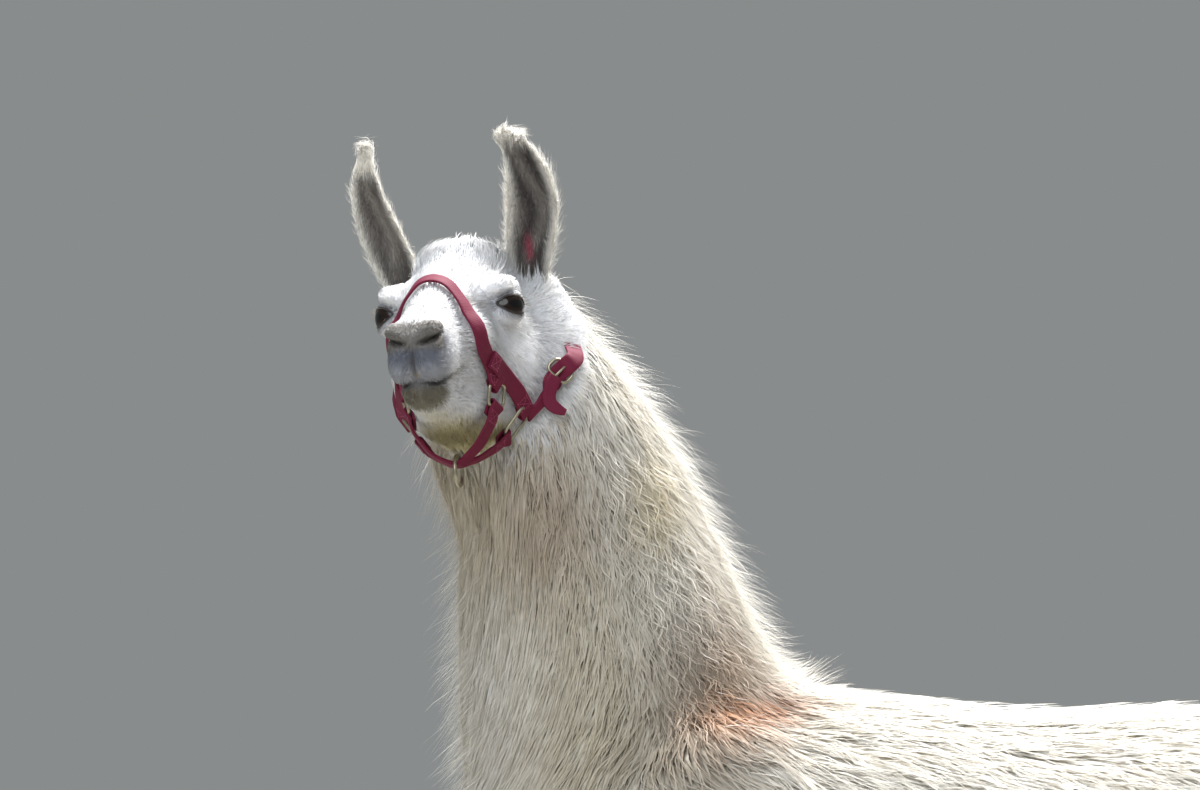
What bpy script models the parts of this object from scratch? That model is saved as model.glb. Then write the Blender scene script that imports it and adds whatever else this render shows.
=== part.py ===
"""A life-size standing llama in a webbing halter, its head turned to its left.

The body is lofted from named stations, fused into one skin-tight volume and parted with
thin cuts into head, jaw, neck, trunk, tail and legs. It faces -Y, its left side is +X,
and it stands on Z = 0. Each solid reaches out to the tips of the coat.
"""

import math

import bmesh
import bpy
import numpy as np
from mathutils import Matrix, Vector
from mathutils.bvhtree import BVHTree

# ---------------------------------------------------------------- driving dimensions
GAP = 0.0003  # left between pieces that touch
MIDDLE = Vector((-0.0125, 0.030, 0.0))  # the body's own centre, from the middle of the box
BACK_HEIGHT = 1.12
LEG_SPREAD = 0.13  # from the middle to the axis of a leg
HEAD_YAW = math.radians(77.0)  # turned to its left of straight ahead
HEAD_PITCH = math.radians(5.5)  # nose up
HEAD_ROLL = math.radians(5.5)  # left side up
EYES = Vector((0.12, -0.617, 1.522))  # the point midway between the eyes
EYE_OUT = 0.0575  # from the middle of the head to the centre of an eye
EYE_RADIUS = 0.0195
KNEE_HEIGHT = 0.365
HOCK_HEIGHT = 0.425
FETLOCK_HEIGHT = 0.105
STRAP_WIDTH = 0.019
STRAP_THICK = 0.0028
WIRE_RADIUS = 0.0018
RING_RADIUS = 0.015

BODY_VOXEL = 0.011
HEAD_VOXEL = 0.0045
BODY_FACES = 2100
HEAD_FACES = 1450

for old in list(bpy.data.objects):
    bpy.data.objects.remove(old)


# ---------------------------------------------------------------- materials
def finish(name, colour, roughness, metallic=0.0):
    made = bpy.data.materials.new(name)
    made.use_nodes = True
    shader = made.node_tree.nodes["Principled BSDF"]
    shader.inputs["Base Color"].default_value = (*colour, 1.0)
    shader.inputs["Roughness"].default_value = roughness
    shader.inputs["Metallic"].default_value = metallic
    return made


WOOL = finish("white_wool", (0.82, 0.79, 0.72), 0.9)
FACE_HAIR = finish("short_white_hair", (0.83, 0.82, 0.79), 0.85)
EAR_HAIR = finish("ear_hair", (0.62, 0.58, 0.52), 0.85)
EYEBALL = finish("eyeball", (0.02, 0.015, 0.012), 0.08)
HORN = finish("toenail_horn", (0.16, 0.13, 0.11), 0.45)
WEBBING = finish("red_nylon_webbing", (0.34, 0.03, 0.07), 0.6)
BRASS = finish("dull_brass", (0.60, 0.52, 0.36), 0.35, 1.0)


# ---------------------------------------------------------------- lofts
def spline_rows(rows, steps):
    """Rows of numbers with steps - 1 more between each two, on a Catmull-Rom curve."""
    known = np.array(rows, float)
    ends = np.vstack([2 * known[0] - known[1], known, 2 * known[-1] - known[-2]])
    made = []
    for i in range(1, len(ends) - 2):
        before, here, there, after = ends[i - 1 : i + 3]
        for t in np.arange(steps) / steps:
            slope = (there - before) * t
            bend = (2 * before - 5 * here + 4 * there - after) * t**2
            twist = (3 * here - before - 3 * there + after) * t**3
            made.append(0.5 * (2 * here + slope + bend + twist))
    return np.array(made + [known[-1]])


def frames_along(centres, across):
    """For each point of a path: the direction across it, nearest to across, and up."""
    across = np.array(across, float)
    along = np.gradient(centres, axis=0)
    along /= np.linalg.norm(along, axis=1)[:, None]
    wide = across - np.sum(along * across, axis=1)[:, None] * along
    wide /= np.linalg.norm(wide, axis=1)[:, None]
    return wide, np.cross(wide, along)


def tube(bm, rings):
    """Adds a closed tube to bm through rings of equal counts of points."""
    rings = [[bm.verts.new(p) for p in ring] for ring in rings]
    for first, second in zip(rings, rings[1:]):
        for i, here in enumerate(first):
            j = (i + 1) % len(first)
            bm.faces.new((here, first[j], second[j], second[i]))
    bm.faces.new(rings[0][::-1])
    bm.faces.new(rings[-1])


def loft(bm, rows, across, sides=20, steps=3, squareness=2.2, taper=0.0, up=None):
    """Adds a closed tube to bm. A row is its centre x, y, z, half width, rise and drop.

    The width runs along across, the rise and the drop to either side of the centre at
    right angles to both, unless up is given. A squareness of 2 is an ellipse, and more is
    boxier. A taper narrows the rising side and widens the dropping one.
    """
    rows = spline_rows(rows, steps)
    centres, sizes = rows[:, :3], np.maximum(rows[:, 3:], 0.0015)
    wide, high = frames_along(centres, across)
    if up is not None:
        wide, high = np.tile(across, (len(rows), 1)), np.tile(up, (len(rows), 1))
    turn = np.arange(sides) * 2 * math.pi / sides
    x = np.sign(np.cos(turn)) * np.abs(np.cos(turn)) ** (2 / squareness)
    y = np.sign(np.sin(turn)) * np.abs(np.sin(turn)) ** (2 / squareness)
    x *= 1 - taper * y
    rings = []
    for centre, (half, rise, drop), w, u in zip(centres, sizes, wide, high):
        height = y * np.where(y > 0, rise, drop)
        rings.append(centre + np.outer(x * half, w) + np.outer(height, u))
    tube(bm, rings)


def ball(bm, centre, radii, turn=Matrix.Identity(3)):
    """Adds an ellipsoid to bm, its axes turned by a 3x3 matrix."""
    place = Matrix.Translation(centre) @ turn.to_4x4() @ Matrix.Diagonal((*radii, 1.0))
    bmesh.ops.create_uvsphere(bm, u_segments=14, v_segments=7, radius=1.0, matrix=place)


# ---------------------------------------------------------------- the body's stations
def trunk_row(y, half, top, bottom):
    """A station of the trunk, given the heights of the back and the belly line."""
    middle = 0.45 * top + 0.55 * bottom
    return (0.0, y, middle, half, top - middle, middle - bottom)


TRUNK = [
    trunk_row(-0.590, 0.095, BACK_HEIGHT - 0.16, 0.835),  # point of the chest
    trunk_row(-0.565, 0.150, BACK_HEIGHT - 0.10, 0.745),
    trunk_row(-0.49, 0.20, BACK_HEIGHT - 0.03, 0.655),  # point of the shoulder
    trunk_row(-0.35, 0.24, BACK_HEIGHT + 0.01, 0.595),
    trunk_row(-0.20, 0.262, BACK_HEIGHT + 0.014, 0.575),  # girth
    trunk_row(-0.02, 0.272, BACK_HEIGHT - 0.006, 0.575),  # barrel
    trunk_row(0.16, 0.268, BACK_HEIGHT, 0.60),
    trunk_row(0.30, 0.25, BACK_HEIGHT - 0.005, 0.635),  # loin
    trunk_row(0.42, 0.218, BACK_HEIGHT - 0.035, 0.67),  # hips
    trunk_row(0.51, 0.165, BACK_HEIGHT - 0.10, 0.72),  # rump
    trunk_row(0.565, 0.09, BACK_HEIGHT - 0.19, 0.80),
]

NECK = [  # from the skull down; rise is the nape side and drop the throat side
    (0.020, -0.580, 1.545, 0.062, 0.070, 0.060),
    (0.010, -0.565, 1.490, 0.078, 0.104, 0.092),
    (0.003, -0.538, 1.411, 0.099, 0.132, 0.128),
    (0.000, -0.506, 1.333, 0.114, 0.146, 0.130),
    (0.000, -0.484, 1.264, 0.124, 0.156, 0.154),
    (0.000, -0.463, 1.198, 0.136, 0.166, 0.175),
    (0.000, -0.443, 1.133, 0.152, 0.174, 0.193),
    (0.000, -0.420, 1.070, 0.170, 0.186, 0.211),
    (0.000, -0.398, 0.990, 0.188, 0.205, 0.224),
    (0.000, -0.382, 0.910, 0.196, 0.210, 0.222),
    (0.000, -0.372, 0.830, 0.190, 0.205, 0.195),
]

TAIL = [  # rise is its outer side
    (0.0, 0.475, 1.035, 0.045, 0.05, 0.06),
    (0.0, 0.545, 1.020, 0.055, 0.055, 0.06),
    (0.0, 0.600, 0.960, 0.062, 0.050, 0.055),
    (0.0, 0.622, 0.880, 0.064, 0.045, 0.050),
    (0.0, 0.620, 0.800, 0.052, 0.036, 0.040),
    (0.0, 0.612, 0.740, 0.026, 0.020, 0.022),
    (0.0, 0.608, 0.715, 0.008, 0.008, 0.008),
]

FORE_LEG = [  # x from the leg's axis outwards, then y, z, half width, behind and ahead
    (0.020, -0.385, 0.860, 0.070, 0.110, 0.100),
    (0.022, -0.375, 0.740, 0.076, 0.110, 0.095),
    (0.014, -0.372, 0.645, 0.070, 0.092, 0.075),  # elbow
    (0.004, -0.376, 0.540, 0.056, 0.062, 0.062),
    (0.000, -0.384, 0.440, 0.044, 0.046, 0.050),
    (0.000, -0.388, KNEE_HEIGHT, 0.042, 0.043, 0.050),
    (0.000, -0.386, 0.300, 0.034, 0.037, 0.038),
    (0.000, -0.386, 0.215, 0.030, 0.034, 0.033),
    (0.000, -0.390, 0.125, 0.036, 0.041, 0.038),  # fetlock
    (0.000, -0.405, 0.078, 0.034, 0.036, 0.036),
    (0.000, -0.418, 0.040, 0.033, 0.036, 0.036),
]

HIND_LEG = [
    (0.012, 0.360, 0.900, 0.080, 0.130, 0.150),
    (0.022, 0.350, 0.790, 0.090, 0.150, 0.155),
    (0.018, 0.335, 0.690, 0.082, 0.130, 0.120),  # stifle
    (0.006, 0.372, 0.590, 0.062, 0.086, 0.080),
    (-0.004, 0.418, 0.500, 0.046, 0.060, 0.056),
    (-0.008, 0.448, HOCK_HEIGHT, 0.039, 0.050, 0.050),
    (-0.008, 0.450, 0.350, 0.033, 0.040, 0.040),
    (-0.008, 0.444, 0.240, 0.030, 0.036, 0.036),
    (-0.008, 0.436, 0.130, 0.036, 0.042, 0.040),  # fetlock
    (-0.008, 0.420, 0.080, 0.034, 0.036, 0.036),
    (-0.008, 0.408, 0.040, 0.033, 0.036, 0.036),
]

TOE = [  # behind to ahead of the last station of a leg, along one toe
    (0.046, 0.022, 0.012, 0.014, 0.026),
    (0.024, 0.022, 0.021, 0.032, 0.032),
    (-0.010, 0.024, 0.0225, 0.036, 0.034),
    (-0.040, 0.021, 0.021, 0.026, 0.031),
    (-0.060, 0.016, 0.014, 0.016, 0.026),
]
TOE_SPREAD = 0.0205
TOE_SPLAY = 0.10  # outward lean of a toe's line, as x over y


def leg_rows(stations, side):
    """The stations of one leg; side is +1 for its left and -1 for its right."""
    return [(side * (LEG_SPREAD + x), *rest) for x, *rest in stations]


def toe_rows(shape, stations, side, toe):
    """TOE or NAIL on one toe of that leg; toe is +1 for the left one and -1 for the right."""
    x, y = side * (LEG_SPREAD + stations[-1][0]), stations[-1][1]
    rows = []
    for dy, z, half, rise, drop in shape:
        out = toe * (TOE_SPREAD - TOE_SPLAY * dy)
        rows.append((x + out, y + dy, z, half, rise, drop))
    return rows[::-1]


# ---------------------------------------------------------------- the head's own axes
FORWARD = Vector(
    (
        math.sin(HEAD_YAW) * math.cos(HEAD_PITCH),
        -math.cos(HEAD_YAW) * math.cos(HEAD_PITCH),
        math.sin(HEAD_PITCH),
    )
)
LEVEL_LEFT = Vector((0, 0, 1)).cross(FORWARD).normalized()
LEFT = (
    LEVEL_LEFT * math.cos(HEAD_ROLL)
    + FORWARD.cross(LEVEL_LEFT) * math.sin(HEAD_ROLL)
)
UP = FORWARD.cross(LEFT)
HEAD_TURN = Matrix((FORWARD, LEFT, UP)).transposed()


def on_head(forward, left, up):
    """A point of the head, from the middle of the eyes, as a point of the body's frame."""
    return EYES + HEAD_TURN @ Vector((forward, left, up))


def head_rows(stations, left=0.0):
    """Stations of forward, top, bottom and half width, as rows of a loft."""
    rows = []
    for forward, top, bottom, half in stations:
        middle = 0.5 * (top + bottom)
        place = on_head(forward, left, middle)
        rows.append((*place, half, top - middle, middle - bottom))
    return rows


SKULL = [  # nose to nape
    (0.173, -0.040, -0.068, 0.013),
    (0.166, -0.028, -0.082, 0.025),  # nostrils
    (0.150, -0.016, -0.092, 0.0330),
    (0.125, -0.003, -0.096, 0.0345),
    (0.095, 0.012, -0.098, 0.0345),
    (0.060, 0.029, -0.102, 0.0390),  # bridge of the nose
    (0.025, 0.048, -0.108, 0.0510),
    (-0.010, 0.062, -0.114, 0.0640),  # forehead
    (-0.050, 0.072, -0.120, 0.0690),
    (-0.090, 0.072, -0.112, 0.0660),  # poll
    (-0.125, 0.056, -0.090, 0.0560),
    (-0.150, 0.030, -0.060, 0.0360),
]

JAW = [  # chin to the angle of the jaw
    (0.149, -0.084, -0.100, 0.013),
    (0.140, -0.080, -0.111, 0.023),  # lower lip
    (0.118, -0.080, -0.117, 0.0270),
    (0.080, -0.080, -0.119, 0.0280),
    (0.040, -0.070, -0.124, 0.0370),
    (0.000, -0.050, -0.133, 0.0500),
    (-0.040, -0.030, -0.140, 0.0600),  # angle of the jaw
    (-0.080, -0.020, -0.128, 0.0560),
]


ROUND_FLESH = [  # forward, left and up from the eyes, and the radii that way
    ((-0.006, 0.053, 0.018), (0.044, 0.022, 0.018)),  # brow
    ((-0.022, 0.060, -0.010), (0.030, 0.014, 0.022)),  # behind the eye
    ((-0.055, 0.050, -0.052), (0.052, 0.030, 0.060)),  # cheek
    ((0.035, 0.040, -0.030), (0.045, 0.016, 0.022)),  # below the eye
    ((0.140, 0.019, -0.066), (0.028, 0.0165, 0.024)),  # upper lip
    ((0.150, 0.021, -0.035), (0.022, 0.0125, 0.013)),  # nostril
]
CROWN_OF_HEAD = (-0.060, 0.0, 0.052), (0.055, 0.050, 0.030)


def flesh_of_head(bm):
    """The skull, muzzle, jaw, cheeks and brows as overlapping closed shapes."""
    loft(bm, head_rows(SKULL), LEFT, sides=24, squareness=2.2, taper=0.16, up=UP)
    loft(bm, head_rows(JAW), LEFT, squareness=2.2, up=UP)
    for side in (1, -1):
        for (forward, left, up), radii in ROUND_FLESH:
            ball(bm, on_head(forward, side * left, up), radii, HEAD_TURN)
    ball(bm, on_head(*CROWN_OF_HEAD[0]), CROWN_OF_HEAD[1], HEAD_TURN)


# ---------------------------------------------------------------- fusing and cutting
def mesh_object(name, bm):
    mesh = bpy.data.meshes.new(name)
    bmesh.ops.recalc_face_normals(bm, faces=bm.faces)
    bm.to_mesh(mesh)
    bm.free()
    made = bpy.data.objects.new(name, mesh)
    bpy.context.scene.collection.objects.link(made)
    return made


def applied(obj):
    """The object's mesh with its modifiers applied, as a bmesh. The object is removed."""
    bm = bmesh.new()
    bm.from_object(obj, bpy.context.evaluated_depsgraph_get())
    bpy.data.objects.remove(obj)
    return bm


def fused(bm, voxel, smoothing, faces):
    """One closed skin round overlapping shapes, smoothed, with about that many triangles."""
    obj = mesh_object("volume", bm)
    remesh = obj.modifiers.new("Fuse", "REMESH")
    remesh.mode, remesh.voxel_size = "VOXEL", voxel
    smooth = obj.modifiers.new("Soften", "SMOOTH")
    smooth.factor, smooth.iterations = 0.5, smoothing
    made = applied(obj)
    bmesh.ops.triangulate(made, faces=made.faces)
    obj = mesh_object("volume", made)
    thin = obj.modifiers.new("Thin", "DECIMATE")
    thin.ratio = faces / len(obj.data.polygons)
    return applied(obj)


def kept_side(bm, point, normal, gap=GAP / 2):
    """Cuts bm with a plane, keeps the side that normal points to, and caps the cut."""
    normal = Vector(normal).normalized()
    bmesh.ops.bisect_plane(
        bm,
        geom=[*bm.verts, *bm.edges, *bm.faces],
        dist=1e-6,
        plane_co=Vector(point) + normal * gap,
        plane_no=-normal,
        clear_outer=True,
    )
    bmesh.ops.holes_fill(bm, edges=[e for e in bm.edges if e.is_boundary], sides=0)
    return bm


def grown(bm, gap=GAP):
    """A copy of a closed shape, a little larger all round."""
    made = bm.copy()
    bmesh.ops.recalc_face_normals(made, faces=made.faces)
    made.normal_update()
    for place, vert in [(v.co + v.normal * gap * 1.1, v) for v in made.verts]:
        vert.co = place
    return made


def without(bm, cutters):
    """bm less the closed shapes in cutters, each grown by the gap."""
    obj = mesh_object("cut", bm)
    tools = [mesh_object("cutter", grown(cutter)) for cutter in cutters]
    for tool in tools:
        cut = obj.modifiers.new("Clear", "BOOLEAN")
        cut.operation, cut.solver, cut.object = "DIFFERENCE", "EXACT", tool
    made = applied(obj)
    for tool in tools:
        bpy.data.objects.remove(tool)
    return made


def largest_island(bm):
    """Removes all but the largest connected piece of bm."""
    left, best = set(bm.faces), []
    while left:
        island = edge = [left.pop()]
        while edge:
            near = {f for face in edge for e in face.edges for f in e.link_faces} & left
            left -= near
            edge = list(near)
            island = island + edge
        best = max(best, island, key=len)
    keep = set(best)
    bmesh.ops.delete(bm, geom=[f for f in bm.faces if f not in keep], context="FACES")
    return bm


def node(name, bm, material, sharp=50):
    """A finished piece, moved from the body's frame to the model's."""
    bmesh.ops.translate(bm, verts=bm.verts, vec=MIDDLE)
    bmesh.ops.triangulate(bm, faces=[f for f in bm.faces if len(f.verts) > 4])
    made = mesh_object(name, bm)
    made.data.materials.append(material)
    made.data.shade_smooth()
    made.data.set_sharp_from_angle(angle=math.radians(sharp))
    return made


# ---------------------------------------------------------------- the flesh
SHOULDER = (0.150, -0.345, 0.905), (0.115, 0.165, 0.215)  # centre and radii
HAUNCH = (0.140, 0.330, 0.880), (0.115, 0.190, 0.200)


def whole_body():
    """Trunk, neck and legs, with the head's shapes for what the neck meets."""
    bm = bmesh.new()
    loft(bm, TRUNK, (1, 0, 0), sides=28, squareness=2.25)
    loft(bm, NECK, (1, 0, 0), sides=24, squareness=2.1)
    for side in (1, -1):
        for (x, y, z), radii in (SHOULDER, HAUNCH):
            ball(bm, (side * x, y, z), radii)
        for stations in (FORE_LEG, HIND_LEG):
            loft(bm, leg_rows(stations, side), (1, 0, 0), sides=18, squareness=2.1)
            for toe in (1, -1):
                loft(bm, toe_rows(TOE, stations, side, toe), (1, 0, 0), sides=12)
    flesh_of_head(bm)
    return fused(bm, BODY_VOXEL, 5, BODY_FACES)


def whole_head():
    """The head with the top of the neck."""
    bm = bmesh.new()
    loft(bm, NECK[:5], (1, 0, 0), sides=24, squareness=2.1)
    flesh_of_head(bm)
    return fused(bm, HEAD_VOXEL, 7, HEAD_FACES)


EAR_THICK = 0.0085
EAR_RIM = 0.93  # the hollow's width, as a part of the ear's
EAR_LIP = 0.0015  # by which its edges stand forward
EAR_SIDES = 7


def ear(rows):
    """An ear, a curved trough open to the front.

    A row is a point of the head, half width and depth.
    """
    centres = np.array([on_head(*row[:3]) for row in rows])
    sizes = np.array(rows)[:, 3:]
    wide, front = frames_along(centres, LEFT)
    turn = np.linspace(0, math.pi, EAR_SIDES)
    rings = []
    for centre, (half, depth), w, b in zip(centres, sizes, wide, front):
        hollow = max(depth - EAR_THICK, 0.1 * depth)
        outer = np.outer(half * np.cos(turn), w) - np.outer(depth * np.sin(turn), b)
        inward = turn[-2:0:-1]
        inner = np.outer(EAR_RIM * half * np.cos(inward), w)
        inner -= np.outer(hollow * np.sin(inward) - EAR_LIP, b)
        rings.append(centre + np.vstack([outer, inner]))
    bm = bmesh.new()
    tube(bm, rings)
    return bm


LEFT_EAR = [  # forward, left and up from the eyes, half width, depth
    (-0.080, 0.0690, 0.010, 0.017, 0.012),
    (-0.085, 0.0650, 0.036, 0.023, 0.016),
    (-0.088, 0.0640, 0.062, 0.0280, 0.0210),
    (-0.090, 0.0680, 0.088, 0.0305, 0.0225),
    (-0.090, 0.0710, 0.114, 0.0310, 0.0215),
    (-0.087, 0.0695, 0.140, 0.0280, 0.0185),
    (-0.083, 0.0640, 0.162, 0.0225, 0.0150),
    (-0.079, 0.0540, 0.179, 0.0155, 0.0120),
    (-0.076, 0.0410, 0.190, 0.0075, 0.0080),
]
RIGHT_EAR = [
    (-0.080, -0.0610, 0.016, 0.016, 0.012),
    (-0.085, -0.0680, 0.040, 0.022, 0.016),
    (-0.088, -0.0775, 0.064, 0.0250, 0.0200),
    (-0.090, -0.0875, 0.088, 0.0255, 0.0210),
    (-0.090, -0.0960, 0.112, 0.0240, 0.0195),
    (-0.087, -0.1010, 0.136, 0.0205, 0.0165),
    (-0.083, -0.1020, 0.158, 0.0170, 0.0135),
    (-0.079, -0.0995, 0.177, 0.0120, 0.0110),
    (-0.076, -0.0950, 0.193, 0.0065, 0.0075),
]


def eyeball(side):
    bm = bmesh.new()
    ball(bm, on_head(0.001, side * EYE_OUT, 0.000), (EYE_RADIUS,) * 3, HEAD_TURN)
    return bm


NAIL = [  # behind to ahead of the last station of a leg, along one nail
    (-0.030, 0.0300, 0.0110, 0.0070, 0.012),
    (-0.046, 0.0250, 0.0135, 0.0100, 0.016),
    (-0.062, 0.0180, 0.0125, 0.0100, 0.014),
    (-0.073, 0.0120, 0.0090, 0.0060, 0.009),
]


def nail(stations, side, toe):
    """The nail on the front and top of a toe."""
    bm = bmesh.new()
    loft(bm, toe_rows(NAIL, stations, side, toe), (1, 0, 0), sides=7, steps=1)
    return bm


# ---------------------------------------------------------------- the halter
CLEAR = 0.0010  # between a strap or a wire and the hair
FOUND = 0.004  # the least distance that tells which way is away from the surface


def pressed(path, surface, lifts):
    """Smooths a path and moves each point out to its lift from the surface, or beyond.

    Returns the points and the directions away from the surface.
    """
    points = [Vector(p) for p in path]
    for _ in range(3):
        inner = [(a + 2 * b + c) / 4 for a, b, c in zip(points, points[1:], points[2:])]
        points = [points[0], *inner, points[-1]]
        for i, (point, lift) in enumerate(zip(points, lifts)):
            near, normal, _, _ = surface.find_nearest(point)
            if (point - near).dot(normal) < lift:
                points[i] = near + normal * lift
    away = []
    for point in points:
        near, normal, _, distance = surface.find_nearest(point)
        outward = (point - near).dot(normal) > 0 and distance > FOUND
        away.append((point - near).normalized() if outward else normal)
    for _ in range(4):
        inner = [(a + b + c).normalized() for a, b, c in zip(away, away[1:], away[2:])]
        away = [away[0], *inner, away[-1]]
    return np.array(points), np.array(away)


def height_over(surface, point):
    """How far a point is outside a surface, less than zero inside."""
    near, normal, _, _ = surface.find_nearest(Vector(point))
    return (Vector(point) - near).dot(normal)


def strap(rows, surface, steps=2):
    """A flat strap over a surface.

    A row is forward, left and up from the eyes, width, thickness and least height over
    the surface.
    """
    rows = spline_rows([row if len(row) == 6 else (*row, *FLAT) for row in rows], steps)
    points, away = pressed([on_head(*row[:3]) for row in rows], surface, rows[:, 5])
    along = np.gradient(points, axis=0)
    across = np.cross(away, along)
    across /= np.linalg.norm(across, axis=1)[:, None]
    rings = []
    for p, c, a, (width, thick, lift) in zip(points, across, away, rows[:, 3:]):
        c, a = c * width / 2, a * thick / 2
        under = [height_over(surface, p + x * c - a) for x in (-1, -0.5, 0, 0.5, 1)]
        if lift > 0:
            p = p + a * max(0.0, CLEAR - min(under)) / (thick / 2)
        rings.append([p - c - a, p + c - a, p + c + a, p - c + a])
    bm = bmesh.new()
    tube(bm, rings)
    return bm


def mirrored(rows):
    """The same path on the right of the head, from its far end back."""
    return [(row[0], -row[1], *row[2:]) for row in rows[::-1]]


def wire_loop(centre, along, normal, length, width, radius, corner, sides=5):
    """A closed loop of round wire, a rectangle with round corners, in a plane."""
    along, normal = Vector(along).normalized(), Vector(normal).normalized()
    along = (along - along.dot(normal) * normal).normalized()
    across = normal.cross(along)
    path = []
    for quarter, (x, y) in enumerate(((1, 1), (-1, 1), (-1, -1), (1, -1))):
        for step in range(3):
            turn = math.radians(90 * quarter + 45 * step)
            path.append(
                Vector(centre)
                + along * (x * (length / 2 - corner) + corner * math.cos(turn))
                + across * (y * (width / 2 - corner) + corner * math.sin(turn))
            )
    bm = bmesh.new()
    rings = []
    for before, here, after in zip(path[-1:] + path, path, path[1:] + path[:1]):
        out = (after - before).normalized().cross(normal)
        ring = []
        for i in range(sides):
            turn = 2 * math.pi * i / sides
            offset = out * math.cos(turn) + normal * math.sin(turn)
            ring.append(bm.verts.new(here + offset * radius))
        rings.append(ring)
    for first, second in zip(rings, rings[1:] + rings[:1]):
        for i in range(sides):
            j = (i + 1) % sides
            bm.faces.new((first[i], first[j], second[j], second[i]))
    return bm


def keeper(surface, place, toward, length, width):
    """A wire keeper lying over the surface of the head, its long side along toward."""
    centre = on_head(*place)
    near, normal, _, _ = surface.find_nearest(centre)
    centre = near + normal * (WIRE_RADIUS + CLEAR + 0.0002)
    along = on_head(*toward) - on_head(*place)
    return wire_loop(centre, along, normal, length, width, WIRE_RADIUS, KEEPER_CORNER)


KEEPER_CORNER = 0.005
KEEPER_PLACES = {  # centre and a point along it, both for the left side, length and width
    "front": ((0.020, 0.046, -0.091), (0.020, 0.045, -0.110), 0.022, 0.027),
    "rear": ((-0.031, 0.050, -0.115), (-0.024, 0.044, -0.131), 0.034, 0.022),
}
BUCKLE_PLACE = (-0.062, 0.0955, -0.064), (-0.068, 0.105, -0.0545), 0.016, 0.0250
RING_PLACE = (0.017, 0.002, -0.1635)
RING_WIRE = 0.0021


LYING = STRAP_THICK / 2 + 0.0006  # height of a strap's middle over the hair
FLAT = (STRAP_WIDTH, STRAP_THICK, LYING)
BUNCHED = (0.015, 0.0035, LYING)  # beside the ring
GATHERED = (0.011, 0.0045, LYING)  # inside it, and behind the jaw
SUNK = (STRAP_WIDTH, STRAP_THICK, -0.012)  # in the wool of the nape
OVER = (0.0140, STRAP_THICK, LYING + STRAP_THICK + 0.0050)  # the folded tail, over another
SIDE_OF_NOSEBAND = [  # from the front keeper up to the bridge of the nose
    (0.020, 0.046, -0.086),
    (0.038, 0.0445, -0.062),
    (0.056, 0.035, -0.042),
    (0.067, 0.026, -0.018),
    (0.067, 0.018, 0.004),
    (0.066, 0.009, 0.018),
]
NOSEBAND = SIDE_OF_NOSEBAND + [(0.066, 0.0, 0.024)] + mirrored(SIDE_OF_NOSEBAND)
CHEEK_STRAP = [
    (0.024, 0.0505, -0.066),
    (0.006, 0.054, -0.074),
    (-0.018, 0.057, -0.086),
    (-0.036, 0.0565, -0.095),
]
SIDE_OF_CHIN_STRAP = [
    (0.020, 0.045, -0.096),
    (0.024, 0.042, -0.116),
    (0.027, 0.031, -0.136),
    (0.026, 0.016, -0.151, *BUNCHED),
]
CHIN_STRAP = SIDE_OF_CHIN_STRAP + [(0.0235, 0.002, -0.1575, *GATHERED)]
CHIN_STRAP += mirrored(SIDE_OF_CHIN_STRAP)
SIDE_OF_THROAT_STRAP = [
    (-0.022, 0.044, -0.132),
    (-0.012, 0.034, -0.142),
    (-0.003, 0.024, -0.149),
    (0.005, 0.014, -0.154, *BUNCHED),
]
THROAT_STRAP = SIDE_OF_THROAT_STRAP + [(0.0105, 0.002, -0.1580, *GATHERED)]
THROAT_STRAP += mirrored(SIDE_OF_THROAT_STRAP)
BILLET = [  # from the left cheek to the buckle
    (-0.057, 0.0635, -0.0945, *GATHERED),
    (-0.0605, 0.073, -0.088, *GATHERED),
    (-0.058, 0.084, -0.078),
]
CROWN_STRAP = [  # from the buckle, behind the ears, to the right cheek
    (-0.062, 0.0955, -0.064),
    (-0.0705, 0.1075, -0.051),
    (-0.088, 0.102, -0.026, *SUNK),
    (-0.104, 0.078, 0.005, *SUNK),
    (-0.122, 0.052, 0.038, *SUNK),
    (-0.128, 0.000, 0.054, *SUNK),
    (-0.122, -0.052, 0.038, *SUNK),
    (-0.108, -0.074, -0.005, *SUNK),
    (-0.090, -0.072, -0.050),
    (-0.054, -0.061, -0.097),
]
STRAP_TAIL = [  # hangs from the buckle over the billet
    (-0.0580, 0.0890, -0.0715, *OVER),
    (-0.0540, 0.0840, -0.0805, *OVER),
    (-0.0525, 0.0820, -0.0920, *OVER),
    (-0.0545, 0.0880, -0.1030, *OVER),
    (-0.0575, 0.0975, -0.1085, *OVER),
]


def halter_of(surface):
    """The halter's wire and webbing by name, fitted over the surface, and the webbing cut
    where one piece meets another."""
    wire, webbing = {}, {}
    for name, (place, toward, length, width) in KEEPER_PLACES.items():
        for hand, side in (("left", 1), ("right", -1)):
            ends = [(forward, side * left, up) for forward, left, up in (place, toward)]
            wire[f"keeper_{name}_{hand}"] = keeper(surface, *ends, length, width)
    ring, across = on_head(*RING_PLACE), 2 * RING_RADIUS
    corner = 0.99 * RING_RADIUS  # all but round, so that no two points coincide
    wire["lead_ring"] = wire_loop(ring, UP, LEFT, across, across, RING_WIRE, corner)
    wire["crown_buckle"] = keeper(surface, *BUCKLE_PLACE)
    webbing["noseband"] = strap(NOSEBAND, surface)
    webbing["cheek_strap_left"] = strap(CHEEK_STRAP, surface)
    webbing["cheek_strap_right"] = strap(mirrored(CHEEK_STRAP), surface)
    webbing["chin_strap"] = strap(CHIN_STRAP, surface)
    webbing["throat_strap"] = strap(THROAT_STRAP, surface)
    webbing["buckle_billet"] = strap(BILLET, surface)
    webbing["crown_strap"] = strap(CROWN_STRAP, surface)
    webbing["strap_tail"] = strap(STRAP_TAIL, surface)
    cut, before = {}, list(wire.values())
    for name, shape in webbing.items():
        cut[name] = largest_island(without(shape.copy(), before))
        before.append(shape)
    return wire, webbing, cut


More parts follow.
